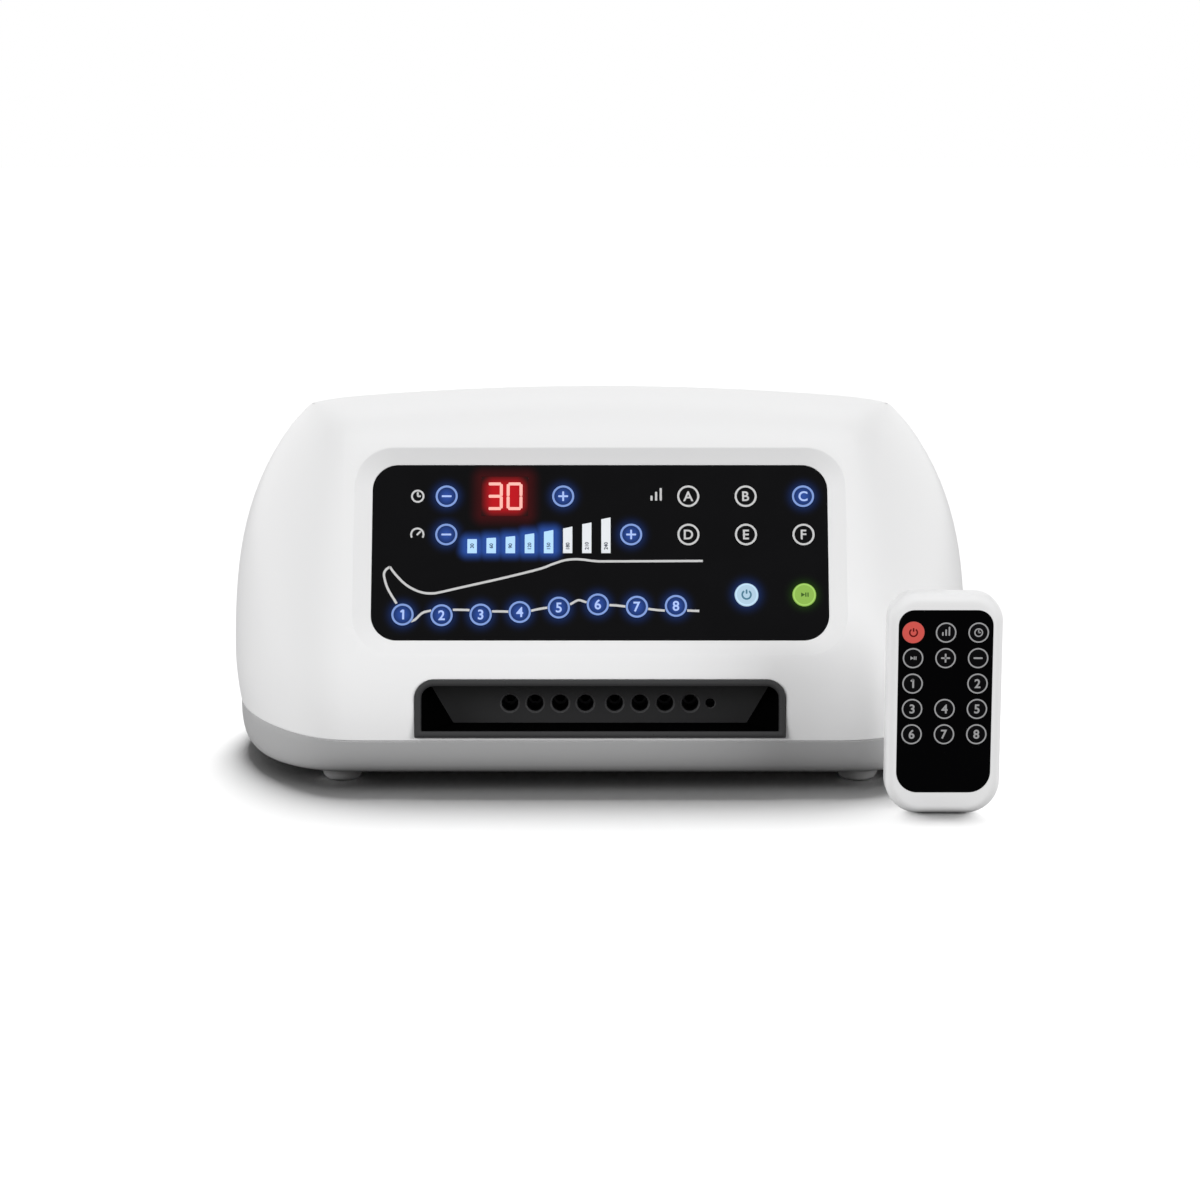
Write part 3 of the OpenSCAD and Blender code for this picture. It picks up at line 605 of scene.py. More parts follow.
@dataclass(frozen=True)
class BacklitFilm:
    """The black film of the key panel, with the light that spills round what is lit."""

    name: str
    color: Color
    halos: tuple[Halo, ...]
    specular: float = 0.027

    def build(self, place: Matrix) -> bpy.types.Material:
        """Makes the material.

        Args:
            place: the panel's place, in which the halos are given.

        Returns:
            The material.
        """
        g = Graph(self.name)
        turn = place.inverted().to_3x3().normalized()
        shift = place.inverted().translation
        local = g.add("Mapping", {"Vector": g.position(), "Location": tuple(shift), "Scale": (1 / MM,) * 3,
                                  "Rotation": tuple(turn.to_euler("XYZ"))})
        light: bpy.types.NodeSocket | None = None
        for color in sorted({h.color for h in self.halos}):
            glow = self.spill(g, local, [h for h in self.halos if h.color == color])
            lit = g.add("Mix", {"Factor": glow, "A": (0, 0, 0, 1), "B": color + (1.0,)}, out=2,
                        data_type="RGBA")
            light = lit if light is None else g.add("Mix", {"Factor": 1.0, "A": light, "B": lit}, out=2,
                                                    data_type="RGBA", blend_type="ADD")
        skin = g.noise(0.0006, 2)
        dust = g.noise(0.02, 4)
        rough = g.add("MapRange", {"Value": dust, "To Min": 0.1, "To Max": 0.2})
        base = g.add("Mix", {"Factor": dust, "A": tint(self.color, 0.8), "B": tint(self.color, 1.2)},
                     out=2, data_type="RGBA")
        return g.finish(g.add("BsdfPrincipled", {
            "Base Color": base, "Roughness": rough, "Specular IOR Level": self.specular,
            "Emission Color": light, "Emission Strength": 1.0, "Normal": g.bump(skin, 0.000002)}))

    def spill(self, g: Graph, local: bpy.types.NodeSocket, halos: list[Halo]) -> bpy.types.NodeSocket:
        """How bright the light of one colour is.

        Args:
            g: the material's graph.
            local: the coordinates in the panel's millimetres.
            halos: the patches of this colour.

        Returns:
            A value from 0 to 1.
        """
        brightest: bpy.types.NodeSocket | None = None
        for halo in halos:
            away = g.add("VectorMath", {0: local, 1: halo.middle + (0.0,)}, operation="SUBTRACT")
            flat = g.add("VectorMath", {0: away, 1: (1.0, 1.0, 0.0)}, operation="MULTIPLY")
            size = g.add("VectorMath", {0: flat}, operation="ABSOLUTE")
            past = g.add("VectorMath", {0: size, 1: halo.half + (0.0,)}, operation="SUBTRACT")
            outside = g.add("VectorMath", {0: past, 1: (0.0, 0.0, 0.0)}, operation="MAXIMUM")
            reach = g.add("VectorMath", {0: outside}, operation="LENGTH", out="Value")
            near = g.add("MapRange", {"Value": reach, "From Min": 0.0, "From Max": halo.reach,
                                      "To Min": 1.0, "To Max": 0.0}, interpolation_type="SMOOTHSTEP")
            glow = g.math("MULTIPLY", g.math("POWER", near, halo.fall), halo.strength)
            brightest = glow if brightest is None else g.math("MAXIMUM", brightest, glow)
        return brightest


@dataclass(frozen=True)
class Finishes:
    """Every finish of the pump, by the piece that wears it."""

    shell: Moulding = Moulding("white gloss housing", (0.84, 0.84, 0.843), roughness=0.28, specular=0.3,
                               grain=0.006, relief=0.0, cloud=0.004, wear=0.0, octaves=0.0)
    base: Moulding = Moulding("grey base pan", (0.38, 0.38, 0.383), roughness=0.45, specular=0.3, cloud=0.02,
                              relief=0.000008)
    foot: Moulding = Moulding("soft clear foot", (0.55, 0.55, 0.55), roughness=0.4, transmission=0.25,
                              relief=0.00001)
    cap: Moulding = Moulding("black key cap", (0.0035, 0.0035, 0.004), roughness=0.2, specular=0.04)
    face: Moulding = Moulding("black remote face", (0.0012, 0.0012, 0.0014), roughness=0.15, specular=0.02)
    power_cap: Moulding = Moulding("pale blue power cap", (0.05, 0.08, 0.1), roughness=0.3, specular=0.1,
                                   glow=(0.43, 0.59, 0.72), glow_strength=1.0)
    power_ring: Moulding = Moulding("power key's ring", (0.1, 0.15, 0.2), roughness=0.4, specular=0.1,
                                    glow=(0.5, 0.68, 0.82), glow_strength=1.0)
    start_cap: Moulding = Moulding("green start cap", (0.04, 0.06, 0.01), roughness=0.3, specular=0.1,
                                   glow=(0.235, 0.43, 0.078), glow_strength=1.0)
    start_ring: Moulding = Moulding("start key's ring", (0.06, 0.1, 0.02), roughness=0.4, specular=0.1,
                                    glow=(0.33, 0.56, 0.13), glow_strength=1.0)
    # The remote's power key has no light of its own: its glow is painted light that brightens the red cap.
    red_cap: Moulding = Moulding("red remote cap, painted glow", (0.3, 0.012, 0.008), roughness=0.3, specular=0.1,
                                 glow=(0.42, 0.1, 0.085), glow_strength=0.8)
    ink: Moulding = Moulding("white print", (0.58, 0.58, 0.58), roughness=0.6, specular=0.1, cloud=0.04)
    grey_ink: Moulding = Moulding("grey print", (0.36, 0.36, 0.365), roughness=0.6, specular=0.1, cloud=0.04)
    blue_ring: Moulding = Moulding("blue lit ring", (0.05, 0.07, 0.15), roughness=0.5, specular=0.1,
                                   glow=(0.18, 0.28, 0.56), glow_strength=1.0)
    blue_ink: Moulding = Moulding("blue lit sign", (0.1, 0.12, 0.2), roughness=0.5, specular=0.1,
                                  glow=(0.34, 0.46, 0.78), glow_strength=1.0)
    teal_ink: Moulding = Moulding("power sign", (0.03, 0.06, 0.08), roughness=0.5, specular=0.1,
                                  glow=(0.05, 0.15, 0.22), glow_strength=1.0)
    olive_ink: Moulding = Moulding("start sign", (0.02, 0.04, 0.01), roughness=0.5, specular=0.1,
                                   glow=(0.03, 0.075, 0.01), glow_strength=1.0)
    rust_ink: Moulding = Moulding("remote power sign", (0.12, 0.006, 0.006), roughness=0.5, specular=0.1)
    digits: Moulding = Moulding("red display digits", (0.3, 0.12, 0.1), roughness=0.4, specular=0.1,
                                glow=(0.85, 0.42, 0.37), glow_strength=1.0)
    lit_bar: Moulding = Moulding("blue lit bar", (0.1, 0.16, 0.24), roughness=0.35, specular=0.1,
                                 glow=(0.39, 0.6, 0.84), glow_strength=1.0)
    # The unlit bars glow faintly white though nothing lights them: painted glow.
    bar: Moulding = Moulding("unlit white bar, painted glow", (0.6, 0.62, 0.64), roughness=0.35, specular=0.1, cloud=0.05,
                             glow=(0.2, 0.21, 0.22), glow_strength=1.0)
    bar_mark: Moulding = Moulding("bar number", (0.015, 0.025, 0.05), roughness=0.5, specular=0.1)
    bay_frame: Moulding = Moulding("bay frame", (0.024, 0.024, 0.025), roughness=0.32, specular=0.4,
                                   relief=0.000006)
    bay_wall: Moulding = Moulding("bay back wall", (0.033, 0.033, 0.034), roughness=0.5, specular=0.2,
                                  relief=0.000006)
    # The recess's inner walls and floor: a near-black copy of the bay's black plastic, painted shade.
    bay_side: Moulding = Moulding("bay sides, painted shade", (0.0004, 0.0004, 0.0004), roughness=0.7, specular=0.01)
    # The ports' chamfers: a lighter copy of the plate's black that paints bright rims round the holes,
    # painted highlight, on top of their real gloss.
    port_edge: Moulding = Moulding("port edges, painted highlight", (0.085, 0.085, 0.087), roughness=0.3, specular=0.5)
    # Inside the bored holes: a near-black copy of the plate's black, painted shade.
    socket: Moulding = Moulding("hose sockets", (0.003, 0.003, 0.0032), roughness=0.5, specular=0.1)
    inlet: Moulding = Moulding("black inlet", (0.02, 0.02, 0.021), roughness=0.45, relief=0.00001)
    valve: Moulding = Moulding("valve body", (0.3, 0.32, 0.36), roughness=0.4)
    rotor: Moulding = Moulding("valve disc", (0.75, 0.35, 0.08), roughness=0.35)
    tube: Moulding = Moulding("dark soft tube", (0.02, 0.02, 0.022), roughness=0.5, specular=0.2)
    mount: Moulding = Moulding("black rubber mount", (0.02, 0.02, 0.02), roughness=0.7, relief=0.00003)
    casting: Moulding = Moulding("cast metal", (0.6, 0.61, 0.62), roughness=0.45, metallic=1.0,
                                 grain=0.0016, relief=0.00003, cloud=0.08)
    winding: Moulding = Moulding("varnished iron", (0.25, 0.17, 0.1), roughness=0.4, metallic=0.4,
                                 grain=0.0006, relief=0.00004, cloud=0.15)
    switch: Moulding = Moulding("switch", (0.12, 0.12, 0.125), roughness=0.5)
    steel: Brushed = Brushed("drawn steel", (0.62, 0.62, 0.63))
    pin: Brushed = Brushed("contact pins", (0.72, 0.7, 0.62), roughness=0.25)
    nickel: Brushed = Brushed("bright nickel", (0.75, 0.74, 0.72), roughness=0.2, stretch=(20.0, 1.0, 20.0))
    board: Circuit = Circuit("circuit board", (0.012, 0.11, 0.04))


class Palette:
    """Builds each finish once and hands it out."""

    def __init__(self, finishes: Finishes) -> None:
        """Keeps the finishes.

        Args:
            finishes: the pump's finishes.
        """
        self.finishes = finishes
        self.made: dict[str, bpy.types.Material] = {}

    def __getitem__(self, name: str) -> bpy.types.Material:
        """The material of a finish, by its field's name."""
        if name not in self.made:
            self.made[name] = getattr(self.finishes, name).build()
        return self.made[name]


# ---- Signs on the keys ---------------------------------------------------------------------

SIGN_RISE = 0.05
SIGN_SINK = 0.05


def flat_bar(length: float, width: float, at: tuple[float, float] = (0.0, 0.0),
             angle: float = 0.0) -> bmesh.types.BMesh:
    """A printed bar with round ends.

    Args:
        length: its length.
        width: its stroke.
        at: its middle.
        angle: its turn in degrees.

    Returns:
        The new mesh, which reaches from just below the print's ground to just above it.
    """
    thick = SIGN_RISE + SIGN_SINK
    return block((length, width, thick), (at[0], at[1], (SIGN_RISE - SIGN_SINK) / 2), angle, width * 0.32)


def flat_arc(radius: float, stroke: float, sweep: float = 360.0, start: float = 0.0,
             at: tuple[float, float] = (0.0, 0.0)) -> bmesh.types.BMesh:
    """A printed ring or a part of one.

    Args:
        radius: its middle radius.
        stroke: its width.
        sweep: degrees that it covers.
        start: where it starts, in degrees.
        at: its centre.

    Returns:
        The new mesh.
    """
    inner, outer = radius - stroke / 2, radius + stroke / 2
    bm = turned([(inner, -SIGN_SINK), (outer, -SIGN_SINK), (outer, SIGN_RISE), (inner, SIGN_RISE)],
                steps=max(12, round(48 * sweep / 360)), sweep=sweep)
    move = Matrix.Translation((at[0], at[1], 0)) @ Matrix.Rotation(math.radians(start), 4, "Z")
    bmesh.ops.transform(bm, matrix=move, verts=bm.verts)
    return bm


def flat_triangle(size: float, at: tuple[float, float]) -> bmesh.types.BMesh:
    """A printed triangle that points to the right.

    Args:
        size: its radius.
        at: its centre.

    Returns:
        The new mesh.
    """
    bm = bmesh.new()
    bmesh.ops.create_cone(bm, cap_ends=True, segments=3, radius1=size, radius2=size,
                          depth=SIGN_RISE + SIGN_SINK)
    turn = Matrix.Translation((at[0], at[1], 0)) @ Matrix.Rotation(math.radians(-90), 4, "Z")
    bmesh.ops.transform(bm, matrix=turn, verts=bm.verts)
    return bm


def flat_text(text: str, height: float, at: tuple[float, float] = (0.0, 0.0),
              angle: float = 0.0) -> bmesh.types.BMesh:
    """A printed number or letter.

    Args:
        text: the characters.
        height: their height.
        at: their middle.
        angle: their turn in degrees.

    Returns:
        The new mesh.
    """
    curve = bpy.data.curves.new("character", "FONT")
    curve.body = text
    curve.size = height * 1.4
    curve.offset = height * 0.028
    curve.extrude = (SIGN_RISE + SIGN_SINK) / 2
    curve.resolution_u = 5
    holder = bpy.data.objects.new("character", curve)
    bpy.context.scene.collection.objects.link(holder)
    graph = bpy.context.evaluated_depsgraph_get()
    mesh = bpy.data.meshes.new_from_object(holder.evaluated_get(graph))
    bm = bmesh.new()
    bm.from_mesh(mesh)
    bmesh.ops.remove_doubles(bm, verts=bm.verts, dist=1e-4)
    xs = [v.co.x for v in bm.verts]
    ys = [v.co.y for v in bm.verts]
    middle = Vector(((min(xs) + max(xs)) / 2, (min(ys) + max(ys)) / 2, 0))
    move = (Matrix.Translation((at[0], at[1], (SIGN_RISE - SIGN_SINK) / 2))
            @ Matrix.Rotation(math.radians(angle), 4, "Z") @ Matrix.Translation(-middle))
    bmesh.ops.transform(bm, matrix=move, verts=bm.verts)
    bpy.data.objects.remove(holder)
    bpy.data.curves.remove(curve)
    bpy.data.meshes.remove(mesh)
    return bm


class Sign(Enum):
    """The plain signs that a key can carry."""

    MINUS = "minus"
    PLUS = "plus"
    POWER = "power"
    START = "start"
    CLOCK = "clock"
    GAUGE = "gauge"
    STEPS = "steps"
    TEXT = "text"


def draw_sign(sign: Sign, size: float, text: str = "") -> list[bmesh.types.BMesh]:
    """The shapes of one sign about the place's middle.

    Args:
        sign: which sign.
        size: its height.
        text: the character, for a sign of text.

    Returns:
        The shapes.
    """
    stroke = size * 0.17
    if sign is Sign.MINUS:
        return [flat_bar(size, stroke * 1.1)]
    if sign is Sign.PLUS:
        return [flat_bar(size, stroke * 1.1), flat_bar(size, stroke * 1.1, angle=90)]
    if sign is Sign.POWER:
        return [flat_arc(size * 0.42, stroke, sweep=290, start=125),
                flat_bar(size * 0.42, stroke, (0, size * 0.3), 90)]
    if sign is Sign.START:
        return [flat_triangle(size * 0.36, (-size * 0.26, 0)),
                flat_bar(size * 0.6, stroke, (size * 0.2, 0), 90),
                flat_bar(size * 0.6, stroke, (size * 0.5, 0), 90)]
    if sign is Sign.CLOCK:
        return [flat_arc(size * 0.42, stroke * 0.8),
                flat_bar(size * 0.32, stroke * 0.8, (0, size * 0.14), 90),
                flat_bar(size * 0.26, stroke * 0.8, (size * 0.1, 0))]
    if sign is Sign.GAUGE:
        return [flat_arc(size * 0.45, stroke * 0.8, sweep=240, start=-30),
                flat_bar(size * 0.4, stroke * 0.8, (size * 0.1, size * 0.1), 45)]
    if sign is Sign.STEPS:
        return [flat_bar(size * (0.4 + 0.3 * i), stroke,
                         ((i - 1) * size * 0.36, (0.3 * i - 0.3) * size / 2), 90) for i in range(3)]
    if text == "1":
        return [flat_bar(size, stroke * 1.2, (size * 0.07, 0), 90),
                flat_bar(size * 0.36, stroke * 1.1, (-size * 0.06, size * 0.37), 38)]
    return [flat_text(text, size)]


# ---- The housing's form --------------------------------------------------------------------

@dataclass
class HousingForm:
    """The console's outer form, in millimetres: levels from the parting line to the ridge."""

    width: float = 360.0
    depth: float = 210.0
    height: float = 177.0
    parting: float = 24.0
    base_height: float = 16.0
    base_round: float = 8.0
    wall: float = 3.0
    face_lean: float = 21.0
    back_lean: float = 5.0
    flat_width: float = 238.0
    crown: float = 8.0
    shoulder: float = 40.0
    curve_height: float = 38.0
    widest_rise: float = 26.0
    tuck: float = 2.5
    ridge_fall: float = 4.0
    front_corner: float = 1.6
    back_corner: float = 2.1
    base_fullness: float = 2.4
    base_corner: float = 2.1
    ease: float = 16.0
    corner_steps: int = 24
    flat_steps: int = 40

    def __post_init__(self) -> None:
        """Works out the places that follow from the sizes."""
        self.front_y = -self.depth / 2
        self.back_y = self.depth / 2
        self.widest = self.parting + self.widest_rise
        self.face_low = self.parting + self.curve_height
        self.face_high = self.height - 20
        self.ridge_end = self.height - self.crown
        self.slope = math.tan(math.radians(self.face_lean))
        fall = math.tan(math.radians(self.ridge_fall))
        self.knee_z = (self.height - self.lean_y(0) * fall) / (1 + self.slope * fall)
        self.knee_y = self.lean_y(self.knee_z)
        self.heel_y = self.back_at(self.height)
        self.heel_z = self.height - self.heel_y * fall

    def lean_y(self, z: float) -> float:
        """The leaning face's y at height z."""
        return self.front_y + (z - self.parting - self.curve_height / 2) * self.slope

    def front_at(self, z: float) -> float:
        """The front's y at height z."""
        if z >= self.face_low:
            return self.lean_y(z)
        rise = max(0.0, (z - self.parting) / self.curve_height)
        return self.front_y + self.curve_height / 2 * self.slope * rise ** 2

    def back_at(self, z: float) -> float:
        """The back's y at height z."""
        return self.back_y - max(0.0, z - self.parting) * math.tan(math.radians(self.back_lean))

    def side_at(self, z: float) -> float:
        """Half the width at height z."""
        if z < self.widest:
            drop = min(1.0, (self.widest - z) / self.widest_rise)
            return self.width / 2 - self.tuck * drop ** 2
        rise = min(1.0, (z - self.widest) / (self.ridge_end - self.widest))
        return self.width / 2 - self.shoulder * (0.77 * rise ** 2.9 + 0.23 * (1 - math.sqrt(1 - rise ** 2)))

    def low_level(self, z: float, inset: float = 0.0) -> tuple[float, ...]:
        """A level below the rounded top: front y and z, back y and z, half width, corner."""
        return (self.front_at(z) + inset / math.cos(math.radians(self.face_lean)), z,
                self.back_at(z) - inset, z, self.side_at(z) - inset, self.front_corner)

    def top_level(self, s: float, inset: float = 0.0) -> tuple[float, ...]:
        """A level of the rounded top, from the flat face at s = 0 to the ridge at s = 1."""
        def bend(a: float, b: float, c: float) -> float:
            return (1 - s) ** 2 * a + 2 * s * (1 - s) * b + s * s * c
        front_y = bend(self.lean_y(self.face_high), self.knee_y, 0)
        front_z = bend(self.face_high, self.knee_z, self.height)
        back_y = bend(self.back_at(self.face_high), self.heel_y, 0)
        back_z = bend(self.face_high, self.heel_z, self.height)
        middle = (front_z + back_z) / 2
        squashed = middle - self.crown * max(0.0, middle - self.face_high) / (self.height - self.face_high)
        keep = 1 - s
        return (front_y + inset * keep / math.cos(math.radians(self.face_lean)), front_z - inset * s,
                back_y - inset * keep, back_z - inset * s, self.side_at(squashed) - inset, self.front_corner)

    def base_level(self, t: float, inset: float = 0.0) -> tuple[float, ...]:
        """A level of the base pan, from the parting line at t = 0 to its flat bottom at t = 90."""
        power = 2 / self.base_fullness
        s, c = math.sin(math.radians(t)), max(0.0, math.cos(math.radians(t)))
        z = self.parting - (self.base_height - inset) * s ** power
        drawn = (self.base_round - inset / 2) * (1 - c ** power) + inset
        return (self.front_y + drawn, z, self.back_y - drawn, z, self.side_at(self.parting) - drawn,
                self.front_corner + (self.base_corner - self.front_corner) * t / 90)

    def crowned(self, x: float, z: float) -> float:
        """The height z of a level, with the crown's fall at x."""
        if z < self.face_high:
            return z
        share = (z - self.face_high) / (self.height - self.face_high)
        return z - self.crown * (x / self.side_at(self.ridge_end)) ** 2 * share

    def reach(self, x: float, half: float, power: float) -> float:
        """How far a level's edge reaches from its middle at x: 1 on its flat, 0 at its end."""
        flat = self.flat_width / 2
        out = min(1.0, max(0.0, (abs(x) - flat) / (half - flat)))
        return (1 - out ** power) ** (1 / power)

    def eased_reach(self, x: float, half: float, power: float) -> float:
        """The same, with the turn at the end of the flat spread over a wider bend."""
        spread = min(self.ease, (half - abs(x)) * 0.6)
        shares = [(i / 6, 1 - (i / 6) ** 2) for i in range(-5, 6)]
        total = sum(weight * self.reach(x + step * spread, half, power) for step, weight in shares)
        return total / sum(weight for _, weight in shares)

    def ring(self, level: tuple[float, ...]) -> Ring:
        """The closed outline of a level, from its left end along the front and back along the rear.

        Args:
            level: as the level methods give it.

        Returns:
            The outline's points.
        """
        front_y, front_z, back_y, back_z, half, corner = level
        middle_y, middle_z = (front_y + back_y) / 2, (front_z + back_z) / 2
        flat = self.flat_width / 2

        def side(end_y: float, end_z: float, power: float) -> Ring:
            places = []
            for i in range(self.corner_steps + 1):
                a = math.radians(90 * i / self.corner_steps)
                places.append(flat + (half - flat) * max(0.0, math.cos(a)) ** (2 / power))
            left = [-x for x in places]
            across = [-flat + 2 * flat * i / self.flat_steps for i in range(1, self.flat_steps)]
            line = []
            for x in left + across + places[::-1]:
                along = self.eased_reach(x, half, power)
                line.append(Vector((x, middle_y + (end_y - middle_y) * along,
                                    middle_z + (end_z - middle_z) * along)))
            return line

        front = side(front_y, front_z, corner)
        back = side(back_y, back_z, self.back_corner)
        points = front + back[-2:0:-1]
        return [Vector((p.x, p.y, self.crowned(p.x, p.z))) for p in points]


def close_ridge(bm: bmesh.types.BMesh, ring: list[bmesh.types.BMVert]) -> None:
    """Closes the thin ring at a ridge with a strip from its front half to its back half.

    Args:
        bm: the mesh.
        ring: the last ring's vertices.
    """
    half = len(ring) // 2
    chains = [ring[1:half], ring[half + 1:]]
    edges = [bm.edges.get(pair) for chain in chains for pair in zip(chain, chain[1:])]
    bmesh.ops.bridge_loops(bm, edges=edges)
    ends = [e for v in (ring[0], ring[half]) for e in v.link_edges if e.is_boundary]
    around = {e for end in ends for v in end.verts for e in v.link_edges if e.is_boundary}
    bmesh.ops.holes_fill(bm, edges=list(around), sides=3)


# ---- The console ---------------------------------------------------------------------------

@dataclass
class PanelPlace:
    """Where the black key panel lies on the leaning face, and its sizes."""

    form: HousingForm
    width: float = 212.5
    height: float = 83.5
    radius: float = 12.0
    depth: float = 4.0
    thickness: float = 2.5
    bezel_side: float = 9.0
    bezel_end: float = 7.5
    foot: float = 21.3

    def __post_init__(self) -> None:
        """Works out the panel's middle."""
        along = self.foot + self.bezel_end + self.height / 2
        lean = math.radians(self.form.face_lean)
        low = self.form.parting + self.form.curve_height / 2
        self.place = place_at((0, self.form.front_y + along * math.sin(lean), low + along * math.cos(lean)),
                              90 - self.form.face_lean)
        self.front = -self.depth
        self.back = -self.depth - self.thickness


@dataclass
class UpperShell:
    """The white upper housing with its bezel, its bay opening and its vents."""

    form: HousingForm
    panel: PanelPlace
    palette: Palette
    bay: "HoseBay"
    levels_low: int = 10
    levels_face: int = 14
    levels_top: int = 18
    lip: float = 0.45
    bezel_turn: float = 0.92
    bezel_reach: float = 1.05

    def build(self) -> None:
        """Builds the shell and sets it on the console."""
        piece = make_piece("upper_housing", self.walls(), Matrix.Scale(MM, 4), [self.palette["shell"]])
        carve(piece, self.tub(), self.panel.place, "UNION")
        carve(piece, self.bezel(), self.panel.place)
        carve(piece, self.window(), self.panel.place)
        carve(piece, self.bay.rabbet(), self.bay.place)
        carve(piece, self.bay.pocket(), Matrix.Scale(MM, 4))
        self.cut_back(piece)
        seat(piece, CONSOLE, "shell_white", "upper_shell")

    def walls(self) -> bmesh.types.BMesh:
        """The outer wall, the rim at the parting line and the inner wall, as one closed skin."""
        form = self.form
        low = [form.low_level(form.parting + form.curve_height * i / self.levels_low)
               for i in range(1, self.levels_low + 1)]
        face = [form.low_level(form.face_low + (form.face_high - form.face_low) * i / self.levels_face)
                for i in range(1, self.levels_face + 1)]
        tops = [form.top_level(0.985 * (i / self.levels_top) ** 0.9) for i in range(1, self.levels_top + 1)]
        lip = [form.low_level(form.parting + self.lip), form.low_level(form.parting, self.lip)]
        outer = lip[::-1] + low + face + tops
        inner = [form.low_level(z, form.wall) for z in (form.parting, form.parting + 14, form.face_low, 110.0,
                                                       form.face_high)]
        inner += [form.top_level(s, form.wall) for s in (0.3, 0.6, 0.88)]
        levels = inner[::-1] + outer
        bm = bmesh.new()
        first = ring = begin_ring(bm, form.ring(levels[0]))
        for level in levels[1:]:
            ring = raise_ring(bm, ring, form.ring(level))
        close_ridge(bm, first)
        close_ridge(bm, ring)
        bmesh.ops.recalc_face_normals(bm, faces=bm.faces)
        return bm

    def tub(self) -> bmesh.types.BMesh:
        """The block behind the face that the bezel and the panel sink into."""
        p, rim = self.panel, 2.0
        w, h = p.width + 2 * (p.bezel_side + rim), p.height + 2 * (p.bezel_end + rim)
        r = p.radius + p.bezel_end
        return ring_stack([round_rect(w, h, r, r, z) for z in (p.back - 3.5, -2.4)])

    def bezel(self) -> bmesh.types.BMesh:
        """The cut of the sunk bezel: a slope that rounds over softly into the face."""
        p = self.panel
        slope = [(0.0, p.back), (0.0, p.front), (self.bezel_turn, p.front * (1 - self.bezel_turn))]
        for i in range(1, 9):
            t = i / 8
            slope.append((self.bezel_turn + (self.bezel_reach - self.bezel_turn) * t,
                          p.front * (1 - self.bezel_turn) * (1 - t) ** 2))
        slope += [(self.bezel_reach + 0.05, 0.05), (self.bezel_reach + 0.2, 1.5)]
        return ring_stack([round_rect(p.width + 2 * p.bezel_side * g, p.height + 2 * p.bezel_end * g,
                                      p.radius + p.bezel_end * g, p.radius + p.bezel_end * g, z, 16)
                           for g, z in slope])

    def window(self) -> bmesh.types.BMesh:
        """The hole behind the panel, for the keys' stems and the board."""
        p = self.panel
        return block((p.width - 8.2, p.height - 10, 8), (0, 0, p.back - 3.5), 0, 1)

    def cut_back(self, piece: bpy.types.Object) -> None:
        """Cuts the mains inlet's hole and the vents in the back wall.

        Args:
            piece: the housing.
        """
        inlet = rear_place(self.form, "power_inlet")
        low, high = local_box("power_inlet", inlet)
        flange = 3.2
        width, height = high.x - low.x - 2 * flange, high.y - low.y - 2 * flange
        middle = (low + high) / 2
        carve(piece, block((width + 0.2, height + 0.2, 24), (middle.x, middle.y, -2)), inlet)
        vents_z = self.form.parting + 62
        vents = place_at((0, self.form.back_at(vents_z), vents_z), 90 - self.form.back_lean, 180)
        for i in range(-5, 6):
            carve(piece, block((4, 36, 12), (i * 9, 0, 0), 0, 1.9), vents)


def rear_place(form: HousingForm, node: str) -> Matrix:
    """The place on the leaning back wall behind a CAD node.

    Args:
        form: the housing's form.
        node: a CAD node on the back wall.

    Returns:
        The place, with z out of the wall.
    """
    low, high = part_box(node)
    z = (low.z + high.z) / 2 / MM
    x = (low.x + high.x) / 2 / MM
    return place_at((x, form.back_at(z), z), 90 - form.back_lean, 180)


@dataclass
class BasePan:
    """The grey base pan with its vents and screw holes."""

    form: HousingForm
    palette: Palette
    steps: int = 12
    lip: float = 0.5

    def build(self) -> None:
        """Builds the pan and sets it on the console."""
        form = self.form
        turns = [90 * (i / self.steps) for i in range(self.steps + 1)]
        outer = [form.base_level(t) for t in turns]
        start = list(form.base_level(0, self.lip))
        start[1] = start[3] = form.parting
        under = list(outer[0])
        under[1] = under[3] = form.parting - self.lip
        inner = [form.base_level(t, form.wall) for t in turns[::-2]]
        levels = inner + [tuple(start), tuple(under)] + outer[1:]
        bm = ring_stack([form.ring(level) for level in levels])
        piece = make_piece("base_pan", bm, Matrix.Scale(MM, 4), [self.palette["base"]])
        for side in (-1, 1):
            for i in range(-3, 4):
                slot = block((3, 34, 12), (side * 28 + i * 7, 52, form.parting - form.base_height), 0, 1.4)
                carve(piece, slot, Matrix.Scale(MM, 4))
        self.cut_screws(piece)
        seat(piece, CONSOLE, "base_grey", "base_shell")

    def cut_screws(self, piece: bpy.types.Object) -> None:
        """Cuts the four screw recesses.

        Args:
            piece: the base pan.
        """
        low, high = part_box("case_screws")
        head = 3.7
        x, y = high.x / MM - 3.4, high.y / MM - 3.4
        top = low.z / MM + 2.4
        for sx in (-1, 1):
            for sy in (-1, 1):
                hole = turned([(0, 0), (head, 0), (head, top), (2.0, top), (2.0, 40), (0, 40)], 32)
                carve(piece, hole, Matrix.Scale(MM, 4) @ Matrix.Translation((sx * x, sy * y, 0)))


@dataclass
class Feet:
    """Four soft domed feet."""

    palette: Palette

    def build(self) -> None:
        """Builds the feet and sets them on the console."""
        low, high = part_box("rubber_feet")
        height = (high.z - low.z) / MM
        radius = 10.0
        x, y = high.x / MM - radius, high.y / MM - radius
        profile = [(0, 0), (radius * 0.5, 0.0)]
        profile += [(radius * 0.5 + radius * 0.5 * math.sin(math.radians(a)),
                     height * 0.72 * (1 - math.cos(math.radians(a)))) for a in range(15, 91, 15)]
        profile += [(radius, height - 0.3), (radius - 0.3, height), (0, height)]
        bm = bmesh.new()
        for sx in (-1, 1):
            for sy in (-1, 1):
                absorb(bm, turned(profile, 48), move=Matrix.Translation((sx * x, sy * y, 0)))
        piece = make_piece("soft_feet", bm, Matrix.Scale(MM, 4), [self.palette["foot"]])
        seat(piece, CONSOLE, "foot_rubber", "rubber_feet")


